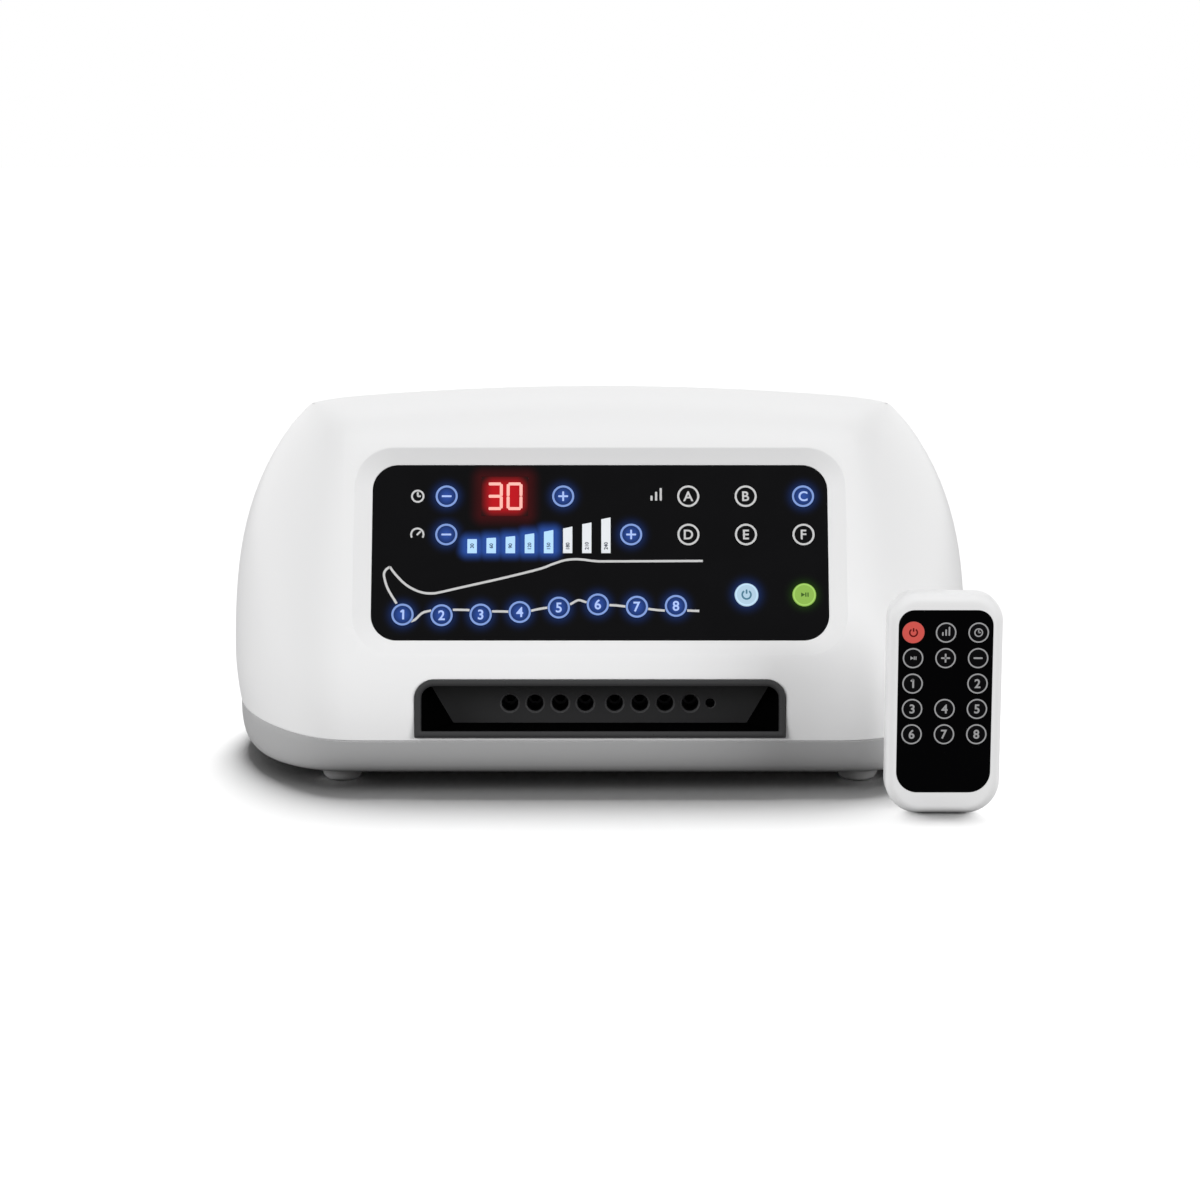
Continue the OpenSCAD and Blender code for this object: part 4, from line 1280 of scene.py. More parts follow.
class Light(Enum):
    """How a key is lit, with the finishes of its cap, its ring and its sign."""

    DARK = ("cap", "ink", "ink")
    GREY = ("cap", "grey_ink", "grey_ink")
    BLUE = ("lit_cap", "blue_ring", "blue_ink")
    POWER = ("power_cap", "power_ring", "teal_ink")
    START = ("start_cap", "start_ring", "olive_ink")
    # The remote's red key is not lit: the glow of its finish is painted light.
    RED = ("red_cap", "red_cap", "rust_ink")


@dataclass
class RoundKey:
    """One round key: a turned cap with its flange and stem, its printed ring and its sign."""

    node: str
    place: Matrix
    body: str
    slot: str
    light: Light
    sign: Sign
    palette: Palette
    text: str = ""
    flange_lap: float = 0.8
    stroke: float = 0.95
    ringed: bool = True
    sign_size: float = 4.6

    def middle(self) -> tuple[Vector, Vector]:
        """The key's box in the place's millimetres."""
        return local_box(self.node, self.place)

    def build(self) -> None:
        """Builds the key and sets it on its own body."""
        low, high = self.middle()
        at = (low + high) / 2
        radius = (high.x - low.x) / 2 - self.flange_lap
        top = high.z - SIGN_RISE
        bm = self.cap(radius, top - low.z)
        if self.ringed:
            absorb(bm, flat_arc(radius - 0.25 - self.stroke / 2, self.stroke), 1,
                   Matrix.Translation((0, 0, top - low.z)))
        for shape in draw_sign(self.sign, self.sign_size, self.text):
            absorb(bm, shape, 2, Matrix.Translation((0, 0, top - low.z)))
        materials = [self.palette[finish] for finish in self.light.value]
        place = self.place @ Matrix.Translation((at.x, at.y, low.z))
        piece = make_piece(self.node + "_cap", bm, place, materials)
        seat(piece, self.body, self.slot, self.node)

    def cap(self, radius: float, height: float) -> bmesh.types.BMesh:
        """The turned cap, flange and stem.

        Args:
            radius: the cap's radius.
            height: the whole key's height.

        Returns:
            The new mesh, standing on z = 0.
        """
        stem = 1.5 if radius > 5 else 1.2
        stem_length = 1.6 if radius > 5 else 1.2
        flange = 1.0 if radius > 5 else 0.8
        shoulder = stem_length + flange
        edge = 0.18
        rounding = [(radius - edge + edge * math.cos(math.radians(a)),
                     height - edge + edge * math.sin(math.radians(a))) for a in (0, 30, 60, 90)]
        profile = [(0, 0), (stem, 0), (stem, stem_length), (radius + self.flange_lap, stem_length),
                   (radius + self.flange_lap, shoulder), (radius, shoulder)] + rounding + [(0, height)]
        return turned(profile, 64)


@dataclass
class KeyPanel:
    """The black panel: its film, its printed line and pictograms, and all that is lit in it."""

    panel: PanelPlace
    palette: Palette
    blue: Color = (0.02, 0.07, 0.32)
    heart: Color = (0.025, 0.065, 0.29)
    red: Color = (0.16, 0.006, 0.008)
    green: Color = (0.03, 0.12, 0.0)
    key_reach: float = 12.0
    power_reach: float = 13.0
    key_glow: tuple[float, float] = (0.75, 2.2)
    heart_glow: tuple[float, float, float] = (6.0, 1.0, 0.8)
    time_glow: tuple[float, float] = (9.0, 0.28)
    bar_glow: tuple[float, float, float] = (7.0, 1.2, 1.5)
    window_glow: tuple[float, float, float] = (7.4, 1.0, 1.0)
    lit_mode: str = "c"
    stroke: float = 1.1
    time_size: tuple[float, float] = (21.7, 18.8)
    bar_width: float = 4.3
    bar_pitch: float = 8.9
    bar_start: float = -61.7
    bar_heights: tuple[float, ...] = (6.6, 7.3, 8.1, 9.4, 11.0, 12.6, 14.6, 17.0)
    bar_slant: float = 0.9
    bar_step: int = 30
    lit_bars: int = 5
    keys: list[RoundKey] = field(default_factory=list)

    def build(self) -> None:
        """Builds the keys, then the panel round them, then its display and gauge."""
        self.plan_keys()
        for key in self.keys:
            key.build()
        self.build_film()
        self.build_print()
        self.build_display()
        self.build_gauge()

    def plan_keys(self) -> None:
        """Lists the console's keys with what each shows."""
        def key(node: str, light: Light, sign: Sign, text: str = "", **more: object) -> None:
            slot = {Light.POWER: "key_blue", Light.START: "key_green"}.get(light, "key_black")
            self.keys.append(RoundKey(node, self.panel.place, node, slot, light, sign, self.palette,
                                      text, **more))
        for name in ("time", "pressure"):
            key(name + "_minus_key", Light.BLUE, Sign.MINUS)
            key(name + "_plus_key", Light.BLUE, Sign.PLUS)
        for letter in "abcdef":
            light = Light.BLUE if letter == self.lit_mode else Light.DARK
            key("mode_" + letter + "_key", light, Sign.TEXT, letter.upper())
        key("power_key", Light.POWER, Sign.POWER, stroke=0.6, sign_size=4.8)
        key("start_key", Light.START, Sign.START, stroke=0.6, sign_size=3.4)
        for digit in "12345678":
            key("position_" + digit + "_key", Light.BLUE, Sign.TEXT, digit)
        hearts = tuple(Halo(self.centre(key.node), (0.0, 0.0), self.heart, *self.heart_glow)
                       for key in self.keys if key.light is Light.BLUE)
        cap = BacklitFilm("blue lit key cap", (0.006, 0.014, 0.05), hearts)
        self.palette.made["lit_cap"] = cap.build(self.panel.place)

    def centre(self, node: str) -> tuple[float, float]:
        """A node's middle on the panel."""
        low, high = local_box(node, self.panel.place)
        return ((low.x + high.x) / 2, (low.y + high.y) / 2)

    def halos(self) -> tuple[Halo, ...]:
        """The light that spills from the lit keys, the display and the gauge."""
        patches = []
        for key in self.keys:
            color = {Light.BLUE: self.blue, Light.POWER: self.blue, Light.START: self.green}.get(key.light)
            if color:
                reach = self.power_reach if key.light is Light.POWER else self.key_reach
                patches.append(Halo(self.centre(key.node), (0.0, 0.0), color, reach, *self.key_glow))
        width, height = self.time_size
        patches.append(Halo(self.centre("time_display"), (width / 2 - 1, height / 2 - 1), self.red,
                            *self.time_glow))
        for i, height in enumerate(self.bar_heights[:self.lit_bars]):
            middle = (self.bar_start + i * self.bar_pitch + self.bar_width / 2,
                      self.bar_foot() + height / 2)
            patches.append(Halo(middle, (self.bar_width / 2, height / 2 - 1.5), self.blue, *self.bar_glow))
        return tuple(patches)

    def bar_foot(self) -> float:
        """Height of the gauge's foot on the panel."""
        return local_box("pressure_bars", self.panel.place)[0].y + 0.4

    def build_film(self) -> None:
        """Builds the black plate with its key holes and windows."""
        p = self.panel
        edge = 0.25
        w, h = p.width - 0.2, p.height - 0.2
        rings = [round_rect(w, h, p.radius, p.radius, z, 16) for z in (p.back, p.front - edge)]
        rings.append(round_rect(w - 2 * edge, h - 2 * edge, p.radius - edge, p.radius - edge, p.front, 16))
        film = BacklitFilm("black panel film", (0.0045, 0.0045, 0.005), self.halos()).build(p.place)
        piece = make_piece("key_panel_plate", ring_stack(rings), p.place, [film])
        for key in self.keys:
            low, high = key.middle()
            radius = (high.x - low.x) / 2 - key.flange_lap + 0.15
            hole = turned([(0, p.back - 1), (radius, p.back - 1), (radius, p.front + 1), (0, p.front + 1)])
            carve(piece, hole, p.place @ Matrix.Translation(((low.x + high.x) / 2, (low.y + high.y) / 2, 0)))
        time_u, time_v = self.centre("time_display")
        window = block((self.time_size[0] + 0.2, self.time_size[1] + 0.2, 8), (time_u, time_v, p.front))
        carve(piece, window, p.place)
        for i, height in enumerate(self.bar_heights):
            carve(piece, self.bar_shape(i, height, 0.1, p.back - 1, p.front + 1), p.place)
        seat(piece, CONSOLE, "panel_black", "control_panel")

    def bar_shape(self, i: int, height: float, grow: float, low: float, high: float) -> bmesh.types.BMesh:
        """One bar of the gauge, whose top slants up to the right.

        Args:
            i: the bar's number from the left.
            height: its height at its right edge.
            grow: added all round.
            low: where it starts along the panel's z.
            high: where it ends.

        Returns:
            The new mesh.
        """
        x, foot = self.bar_start + i * self.bar_pitch, self.bar_foot()
        slant = self.bar_slant * min(1.0, i / 4)
        left, right, top = x - grow, x + self.bar_width + grow, foot + height + grow
        corners = [(left, foot - grow), (right, foot - grow), (right, top), (left, top - slant)]
        return ring_stack([[Vector((cx, cy, z)) for cx, cy in corners] for z in (low, high)])

    def build_gauge(self) -> None:
        """Builds the light bars with their small numbers."""
        p = self.panel
        bm = bmesh.new()
        for i, height in enumerate(self.bar_heights):
            absorb(bm, self.bar_shape(i, height, 0, p.back - 2, p.front), 0 if i < self.lit_bars else 1)
            x = self.bar_start + i * self.bar_pitch + self.bar_width / 2
            mark = flat_text(str(self.bar_step * (i + 1)), 1.7, (x, self.bar_foot() + 3.4), 90)
            absorb(bm, mark, 2, Matrix.Translation((0, 0, p.front)))
        # Unlit bars wear the white bar finish with its painted glow.
        materials = [self.palette["lit_bar"], self.palette["bar"], self.palette["bar_mark"]]
        piece = make_piece("pressure_gauge_bars", bm, p.place, materials)
        seat(piece, CONSOLE, "bar_blue", "pressure_bars")

    def build_display(self) -> None:
        """Builds the red window and its two digits of seven segments."""
        p = self.panel
        u, v = self.centre("time_display")
        low, _ = local_box("time_display", p.place)
        w, h = self.time_size
        depth = p.front - low.z
        bm = block((w, h, depth), (u, v, p.front - depth / 2))
        glow = Halo((u, v), (w / 2 - 6.0, h / 2 - 5.5), (0.5, 0.003, 0.009), *self.window_glow)
        window = BacklitFilm("red display window", (0.02, 0.002, 0.002), (glow,), 0.1).build(p.place)
        segments = {"a": (0, 1, 0), "b": (0.5, 0.5, 90), "c": (0.5, -0.5, 90), "d": (0, -1, 0),
                    "e": (-0.5, -0.5, 90), "f": (-0.5, 0.5, 90), "g": (0, 0, 0)}
        across, half, stroke = 6.0, 5.9, 1.4
        for shift, lit in ((-4.6, "abcdg"), (4.6, "abcdef")):
            for name in lit:
                sx, sy, angle = segments[name]
                length = across - 0.2 if angle == 0 else half - 0.2
                bar = flat_bar(length, stroke, (u + shift + sx * across, v + sy * half), angle)
                absorb(bm, bar, 1, Matrix.Translation((0, 0, p.front)))
        piece = make_piece("time_display_window", bm, p.place, [window, self.palette["digits"]])
        seat(piece, CONSOLE, "display_red", "time_display")

    def build_print(self) -> None:
        """Builds the printed leg line and the small pictograms beside the keys."""
        bm = bmesh.new()
        keys = {k.node: self.centre(k.node) for k in self.keys}
        for points in self.leg_lines(keys):
            absorb(bm, ribbon(points, self.stroke), 0)
        for sign, node, size in ((Sign.CLOCK, "time_minus_key", 6.4),
                                 (Sign.GAUGE, "pressure_minus_key", 6.4)):
            for shape in draw_sign(sign, size):
                absorb(bm, shape, 0, Matrix.Translation((keys[node][0] - 13.5, keys[node][1], 0)))
        mode = keys["mode_a_key"]
        for shape in draw_sign(Sign.STEPS, 6.0):
            absorb(bm, shape, 0, Matrix.Translation((mode[0] - 15.0, mode[1], 0)))
        move = self.panel.place @ Matrix.Translation((0, 0, self.panel.front))
        piece = make_piece("panel_print", bm, move, [self.palette["ink"]])
        seat(piece, CONSOLE, "panel_black")

    def leg_lines(self, keys: dict[str, tuple[float, float]]) -> list[list[tuple[float, float]]]:
        """The line figure of a leg that runs through the position keys.

        Args:
            keys: the keys' middles by node.

        Returns:
            Lists of points on the panel, each one stroke.
        """
        ring = 5.2
        spots = [keys["position_%d_key" % i] for i in range(1, 9)]
        first, second, last = spots[0], spots[1], spots[-1]
        toe_u, toe_v = first[0] - 6.2, first[1] + 22.6
        upper = [(0, 0), (2.7, -3.6), (6.9, -7.9), (11.1, -10.6), (15.4, -12.2), (19.6, -12.6),
                 (23.8, -12.0), (32.3, -10.0), (52.8, -5.3), (69.3, -1.1), (76.0, 1.4), (81.3, 3.1),
                 (86.0, 3.6), (90.0, 3.4), (95.8, 2.7), (104.0, 2.6), (145.5, 2.8)]
        sole = [(0, 0), (-2.0, -1.7), (-2.6, -4.4), (-0.7, -10.5), (3.4, -17.4)]
        strokes = [[(toe_u + u, toe_v + v) for u, v in line] for line in (upper, sole)]
        heel = [(3.8, -3.2), (5.9, -2.3), (8.0, -0.2), (9.9, 1.1)]
        strokes.append([(first[0] + u, first[1] + v) for u, v in heel]
                       + [(second[0] - ring + 0.4, second[1] + 2.2)])
        lifts = ((2.6, 2.4, 2.1), (1.5, 0.9, 0.2), (0.6, 0.4, 0.0), (1.5, 2.7, 1.0), (-0.3, 0.0, 0.1),
                 (-1.0, -1.7, -2.2))
        for a, b, (start, middle, end) in zip(spots[1:], spots[2:], lifts):
            strokes.append([(a[0] + ring, a[1] + start), ((a[0] + b[0]) / 2, (a[1] + b[1]) / 2 + middle),
                            (b[0] - ring, b[1] + end)])
        strokes.append([(last[0] + ring, last[1] - 2.2), (46.0, last[1] - 2.4)])
        return strokes


def smooth_path(points: Sequence[tuple[float, float]], steps: int = 10) -> list[Vector]:
    """A smooth path through points.

    Args:
        points: the points.
        steps: how many short pieces lie between two of them.

    Returns:
        The path's points.
    """
    knots = [Vector(p) for p in points]
    knots = [2 * knots[0] - knots[1]] + knots + [2 * knots[-1] - knots[-2]]
    path = []
    for a, b, c, d in zip(knots, knots[1:], knots[2:], knots[3:]):
        for i in range(steps):
            t = i / steps
            path.append((2 * b + (c - a) * t + (2 * a - 5 * b + 4 * c - d) * t ** 2
                         + (3 * b - a - 3 * c + d) * t ** 3) / 2)
    return path + [knots[-2]]


def ribbon(points: Sequence[tuple[float, float]], stroke: float) -> bmesh.types.BMesh:
    """A flat printed line of even width along a smooth path.

    Args:
        points: the path's points.
        stroke: the line's width.

    Returns:
        The new mesh, which reaches from just below the print's ground to just above it.
    """
    path = smooth_path(points)
    rings = []
    for before, here, after in zip(path[:1] + path, path, path[1:] + path[-1:]):
        along = (after - before).normalized()
        side = Vector((-along.y, along.x)) * stroke / 2
        rings.append([Vector((p.x, p.y, z)) for p, z in ((here - side, -SIGN_SINK), (here + side, -SIGN_SINK),
                                                         (here + side, SIGN_RISE), (here - side, SIGN_RISE))])
    return ring_stack(rings)


@dataclass
class HoseBay:
    """The black bay: a framed recess whose back wall holds the ports."""

    form: HousingForm
    palette: Palette
    width: float = 171.0
    height: float = 27.0
    lip: float = 3.2
    proud: float = 1.6
    frame_thickness: float = 3.0
    depth: float = 20.0
    corner: float = 9.0
    rim: float = 2.0
    tail_low: float = 136.8
    tail_high: float = 158.4
    edge: float = 0.7
    plate: float = 2.0
    port_mouth: float = 3.9
    port_edge: float = 0.8
    port_z: float = 38.0

    def __post_init__(self) -> None:
        """Works out the bay's lean and its back."""
        self.low_z = self.form.parting + 1.8
        front = self.form.front_at
        self.lean = math.atan((front(self.low_z + self.height) - front(self.low_z)) / self.height)
        self.front_y = front(self.low_z) - self.proud
        self.place = place_at((0, self.front_y, self.low_z), 90 - math.degrees(self.lean))
        self.back_y = self.form.front_y - self.proud + self.depth
        self.inner_height = self.height - 2 * self.lip + 0.6
        self.floor_z = self.low_z + (self.height - self.inner_height) / 2

    def outline(self, grow: float, z: float, low: float | None = None, high: float | None = None) -> Ring:
        """The frame's outline in its place: round corners above, nearly square ones below.

        Args:
            grow: how far it lies inside the frame's outer edge.
            z: its height out of the frame's front.
            low: its lower edge, or None to follow grow.
            high: its upper edge, or None to follow grow.

        Returns:
            The ring's points.
        """
        bottom = grow if low is None else low
        top = self.height - grow if high is None else high
        return round_rect(self.width - 2 * grow, top - bottom, max(self.corner - grow, 1.0), 0.7, z, 12,
                          (0, (bottom + top) / 2))

    def rabbet(self) -> bmesh.types.BMesh:
        """The cut in the housing that takes the frame."""
        return ring_stack([self.outline(-0.1, z) for z in (-self.frame_thickness, self.proud + 3)])

    def pocket(self) -> bmesh.types.BMesh:
        """The cut in the housing that takes the bay's body."""
        return self.body_box(0.1, 2.0)

    def body_box(self, grow: float, longer: float) -> bmesh.types.BMesh:
        """The bay's body behind its frame, in the row frame's millimetres.

        Args:
            grow: added all round.
            longer: added towards the front.

        Returns:
            The new mesh.
        """
        face = self.front_y + self.frame_thickness * 0.6 - longer
        back = self.body_ring(self.back_y + self.plate + grow, grow)
        slope = math.tan(self.lean)
        return ring_stack([back, [Vector((p.x, face + (p.z - self.low_z) * slope, p.z)) for p in back]])

    def tail(self, y: float) -> Ring:
        """The outline of the back wall, which narrows downwards.

        Args:
            y: its place in depth, in the row frame's millimetres.

        Returns:
            The ring's points, in the order that outline() has.
        """
        top = self.floor_z + self.inner_height - 2.5
        middle = ((self.tail_low + self.tail_high) / 2, top - self.floor_z)
        ring = round_rect(middle[0], middle[1], 1.6, 0.6, 0, 12, (0, (self.floor_z + top) / 2))
        widen = (self.tail_high - self.tail_low) / middle[1] / middle[0]
        return [Vector((p.x * (1 + (p.y - (self.floor_z + top) / 2) * widen), y, p.y)) for p in ring]

    def build(self) -> None:
        """Builds the framed recess and the manifold that closes its back."""
        self.build_recess()
        self.build_manifold()

    def build_recess(self) -> None:
        """Builds the frame and the recess behind it as one closed piece."""
        edge, thick = self.edge, self.frame_thickness
        outer = [self.outline(self.rim, -thick), self.outline(0, -thick), self.outline(0, -edge),
                 self.outline(edge * 0.3, -edge * 0.3), self.outline(edge, 0)]
        mouth_low = self.floor_z - self.low_z
        inner = [self.outline(self.lip - edge, 0), self.outline(self.lip - edge * 0.3, -edge * 0.3),
                 self.outline(self.lip, -edge), self.outline(self.lip + 0.1, -1.6, mouth_low,
                                                             mouth_low + self.inner_height)]
        to_row = Matrix.Scale(1 / MM, 4) @ self.place
        leaning = [[to_row @ p for p in ring] for ring in outer + inner]
        stack = [self.body_ring(self.back_y)] + leaning + [self.tail(self.back_y)]
        # Material 1 paints the recess's walls and floor near black: painted shade.
        marks = [1, 1] + [0] * (len(leaning) - 2) + [1, 1]
        piece = make_piece("hose_bay_recess", ring_tube(stack, marks), Matrix.Scale(MM, 4),
                           [self.palette["bay_frame"], self.palette["bay_side"]])
        seat(piece, CONSOLE, "bay_black", "hose_bay")

    def body_ring(self, y: float, grow: float = 0.0) -> Ring:
        """The outline of the bay's body, in the row frame's millimetres.

        Args:
            y: its place in depth.
            grow: added all round.

        Returns:
            The ring's points, in the order that outline() has.
        """
        inset = self.rim - grow
        ring = round_rect(self.width - 2 * inset, self.height - 2 * inset, self.corner - inset, 0.5, 0, 12,
                          (0, self.low_z + self.height / 2))
        return [Vector((p.x, y, p.y)) for p in ring]

    def build_manifold(self) -> None:
        """Builds the manifold, whose plate is the recess's back wall, with its sockets."""
        low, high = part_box("air_manifold")
        front, back = low.y / MM, high.y / MM
        inset = self.rim + 0.1
        plate = ring_stack([round_rect(self.width - 2 * inset, self.height - 2 * inset, self.corner - inset,
                                       0.5, z, 12, (0, self.low_z + self.height / 2))
                            for z in (-self.plate, 0)])
        place = place_at((0, front, 0), 90)
        piece = make_piece("hose_manifold", plate, place, [self.palette["bay_wall"], self.palette["socket"],
                                                           self.palette["port_edge"]])
        ports = [m for m in frame["record"]["mounts"] if m["name"].startswith("hose_port")]
        locator = next(m for m in frame["record"]["mounts"] if m["name"] == "hose_locator")
        socket, depth = ports[0]["dims"]["r_mm"], ports[0]["dims"]["length_mm"]
        half = locator["pos_m"][0] / MM + 4.2
        body = block((2 * half, 2 * socket + 9, back - front - self.plate + 0.5),
                     (0, self.port_z, (front - back - self.plate + 0.5) / 2))
        carve(piece, body, place, "UNION")
        seat_r = socket - 0.35
        length = front - back - 1
        profile = [(0, length), (seat_r, length), (seat_r, -self.plate - depth),
                   (socket, -self.plate - depth),
                   (socket, -self.plate), (self.port_mouth, -self.plate), (self.port_mouth, -self.port_edge),
                   (self.port_mouth + self.port_edge, 0), (self.port_mouth + self.port_edge + 1, 1), (0, 1)]
        for port in ports:
            self.bore(piece, profile, port["pos_m"][0] / MM, place)
        pin, deep = locator["dims"]["r_mm"], locator["dims"]["length_mm"]
        profile = [(0, -self.plate - deep), (pin, -self.plate - deep), (pin, -self.plate),
                   (pin + 0.2, -self.plate), (pin + 0.2, -0.4), (pin + 0.6, 0), (pin + 1.6, 1), (0, 1)]
        self.bore(piece, profile, locator["pos_m"][0] / MM, place)
        seat(piece, CONSOLE, "manifold_black", "air_manifold")

    def bore(self, piece: bpy.types.Object, profile: Sequence[tuple[float, float]], x: float,
             place: Matrix) -> None:
        """Cuts one turned hole into the manifold: the faces of its mouth's chamfer get the lighter port
        edges, painted highlight, and its other faces the near-black sockets, painted shade.

        Args:
            piece: the manifold.
            profile: the hole's radius and depth from its bottom to its mouth.
            x: its place across.
            place: the manifold's place.
        """
        hole = turned(profile, 48)
        # Chamfer faces get the lighter port edges (painted highlight), the rest the near-black sockets
        # (painted shade).
        for face in hole.faces:
            face.material_index = 2 if face.calc_center_median().z > -self.port_edge else 1
        carve(piece, hole, place @ Matrix.Translation((x, self.port_z, 0)))


@dataclass
class PowerInlet:
    """The mains inlet on the back: a flanged socket with three pins."""

    form: HousingForm
    palette: Palette
    flange: float = 3.2

    def build(self) -> None:
        """Builds the inlet and sets it on the console."""
        place = rear_place(self.form, "power_inlet")
        low, high = local_box("power_inlet", place)
        middle = ((low.x + high.x) / 2, (low.y + high.y) / 2)
        w, h = high.x - low.x, high.y - low.y
        body = [round_rect(w - 2 * self.flange, h - 2 * self.flange, 1, 1, low.z, 6, middle),
                round_rect(w - 2 * self.flange, h - 2 * self.flange, 1, 1, 0, 6, middle),
                round_rect(w, h, 3, 3, 0, 6, middle), round_rect(w, h, 3, 3, high.z - 0.5, 6, middle),
                round_rect(w - 1, h - 1, 2.5, 2.5, high.z, 6, middle)]
        materials = [self.palette["inlet"], self.palette["pin"]]
        piece = make_piece("mains_inlet_socket", ring_stack(body), place, materials)
        mouth = [(-11.9, -6.5), (11.9, -6.5), (11.9, 3.0), (8.4, 8.0), (-8.4, 8.0), (-11.9, 3.0)]
        centre = Vector((middle[0], middle[1], 0))
        opening = [[Vector((x, y, z)) + centre for x, y in mouth] for z in (low.z + 3, high.z + 2)]
        carve(piece, ring_stack(opening), place)
        for x, y in ((-7, -1.5), (0, 2), (7, -1.5)):
            pin = block((2, 4, -low.z - 6.5), (middle[0] + x, middle[1] + y, (low.z + 2.5 - 4) / 2), 0, 0.4)
            for face in pin.faces:
                face.material_index = 1
            carve(piece, pin, place, "UNION")
        seat(piece, CONSOLE, "inlet_black", "power_inlet")


# ---- The remote control --------------------------------------------------------------------

@dataclass
class RemoteControl:
    """The upright remote: two rounded halves, a black face, fourteen keys and a battery cover."""

    palette: Palette
    width: float = 51.0
    height: float = 100.0
    thickness: float = 15.0
    top_radius: float = 12.5
    low_radius: float = 15.0
    rounding: float = 4.0
    split: float = -8.55
    seam: float = 0.15

    def __post_init__(self) -> None:
        """Works out the remote's place from its face plate."""
        low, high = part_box("remote_front")
        middle = (low.x + high.x) / 2 / MM
        self.place = place_at((middle, low.y / MM, (low.z + high.z) / 2 / MM), 90)

    def layer(self, inset: float, z: float) -> Ring:
        """The remote's outline, drawn in."""
        return round_rect(self.width - 2 * inset, self.height - 2 * inset, self.top_radius - inset * 0.6,
                          self.low_radius - inset * 0.6, z, 14)

    def half_rings(self, outer: float, toward: float) -> list[Ring]:
        """The rings of one half from the split to its outer face.

        Args:
            outer: height of the outer face along z.
            toward: -1 where the half grows towards +z, 1 where it grows towards -z.

        Returns:
            The rings.
        """
        rings = [self.layer(self.seam, self.split), self.layer(0, self.split - toward * self.seam * 1.5)]
        for a in range(0, 91, 10):
            lean, rise = math.cos(math.radians(a)), math.sin(math.radians(a))
            rings.append(self.layer(self.rounding * (1 - lean), outer + toward * self.rounding * (1 - rise)))
        return rings

    def build(self) -> None:
        """Builds the remote's halves, face, keys and cover."""
        shell = self.palette["shell"]
        front = make_piece("remote_front_half", ring_stack(self.half_rings(0, -1)), self.place, [shell])
        low, high = local_box("remote_face", self.place)
        middle = (0, (low.y + high.y) / 2)
        w, h = high.x - low.x, high.y - low.y
        recess = ring_stack([round_rect(w + 0.2, h + 0.2, 7.1, 9.6, z, 12, middle) for z in (low.z, 2)])
        carve(front, recess, self.place)
        hollow = ring_stack([round_rect(self.width - 8.4, self.height - 8.4, 8, 12, z, 8)
                             for z in (self.split - 1, -2.0)])
        carve(front, hollow, self.place)
        rear = make_piece("remote_rear_half", ring_stack(self.half_rings(-self.thickness, 1)), self.place,
                          [shell])
        hollow = ring_stack([round_rect(self.width - 8.4, self.height - 8.4, 8, 12, z, 8)
                             for z in (-self.thickness + 2.2, self.split + 1)])
        carve(rear, hollow, self.place)
        face = make_piece("remote_face_plate", ring_stack(
            [round_rect(w, h, 7, 9.5, low.z, 12, middle), round_rect(w, h, 7, 9.5, -0.15, 12, middle),
             round_rect(w - 0.3, h - 0.3, 6.85, 9.35, 0, 12, middle)]), self.place, [self.palette["face"]])
        keys = self.plan_keys()
        for key in keys:
            key.build()
            key_low, key_high = key.middle()
            radius = (key_high.x - key_low.x) / 2 - key.flange_lap + 0.15
            at = (key_low + key_high) / 2
            for target in (front, face):
                hole = turned([(0, -4), (radius, -4), (radius, 2), (0, 2)], 48)
                carve(target, hole, self.place @ Matrix.Translation((at.x, at.y, 0)))
        seat(front, REMOTE, "shell_white", "remote_front")
        seat(face, REMOTE, "panel_black", "remote_face")
        self.build_cover(rear)
        seat(rear, REMOTE, "shell_white", "remote_back")

    def plan_keys(self) -> list[RoundKey]:
        """Lists the remote's keys with what each shows.

        Returns:
            The keys.
        """
        signs = {"power": (Light.RED, Sign.POWER), "mode": (Light.GREY, Sign.STEPS),
                 "time": (Light.GREY, Sign.CLOCK), "start": (Light.GREY, Sign.START),
                 "more": (Light.GREY, Sign.PLUS), "less": (Light.GREY, Sign.MINUS)}
        keys = []
        for name, (light, sign) in signs.items():
            red = light is Light.RED
            node = "remote_%s_key" % name
            size = 2.6 if sign is Sign.START else 4.0
            keys.append(RoundKey(node, self.place, node, "key_red" if red else "key_black", light, sign,
                                 self.palette, flange_lap=0.6, stroke=0.6, ringed=not red, sign_size=size))
        for digit in "12345678":
            node = "remote_%s_key" % digit
            keys.append(RoundKey(node, self.place, node, "key_black", Light.GREY, Sign.TEXT, self.palette,
                                 digit, flange_lap=0.6, stroke=0.6, sign_size=4.0))
        return keys

    def build_cover(self, rear: bpy.types.Object) -> None:
        """Cuts the battery bay in the rear half and builds its ribbed cover.

        Args:
            rear: the rear half.
        """
        low, high = local_box("battery_cover", self.place)
        w, h, t = high.x - low.x, high.y - low.y, high.z - low.z
        middle = (low + high) / 2
        gap = 0.15
        carve(rear, block((w + 2 * gap, h + 2 * gap, 2 * t), (middle.x, middle.y, low.z)), self.place)
        cell = turned([(0, -4), (11, -4), (11, 6), (0, 6)], 48)
        carve(rear, cell, self.place @ Matrix.Translation((middle.x, middle.y, low.z)))
        bm = block((w, h, t), tuple(middle), 0, 1.2)
        piece = make_piece("battery_cover_plate", bm, self.place, [self.palette["shell"]])
        for i in range(5):
            groove = block((12, 0.9, 0.8), (middle.x, high.y - 5 - i * 2.2, low.z), 0, 0.3)
            carve(piece, groove, self.place)
        seat(piece, "battery_cover", "shell_white", "battery_cover")


# ---- Inside --------------------------------------------------------------------------------

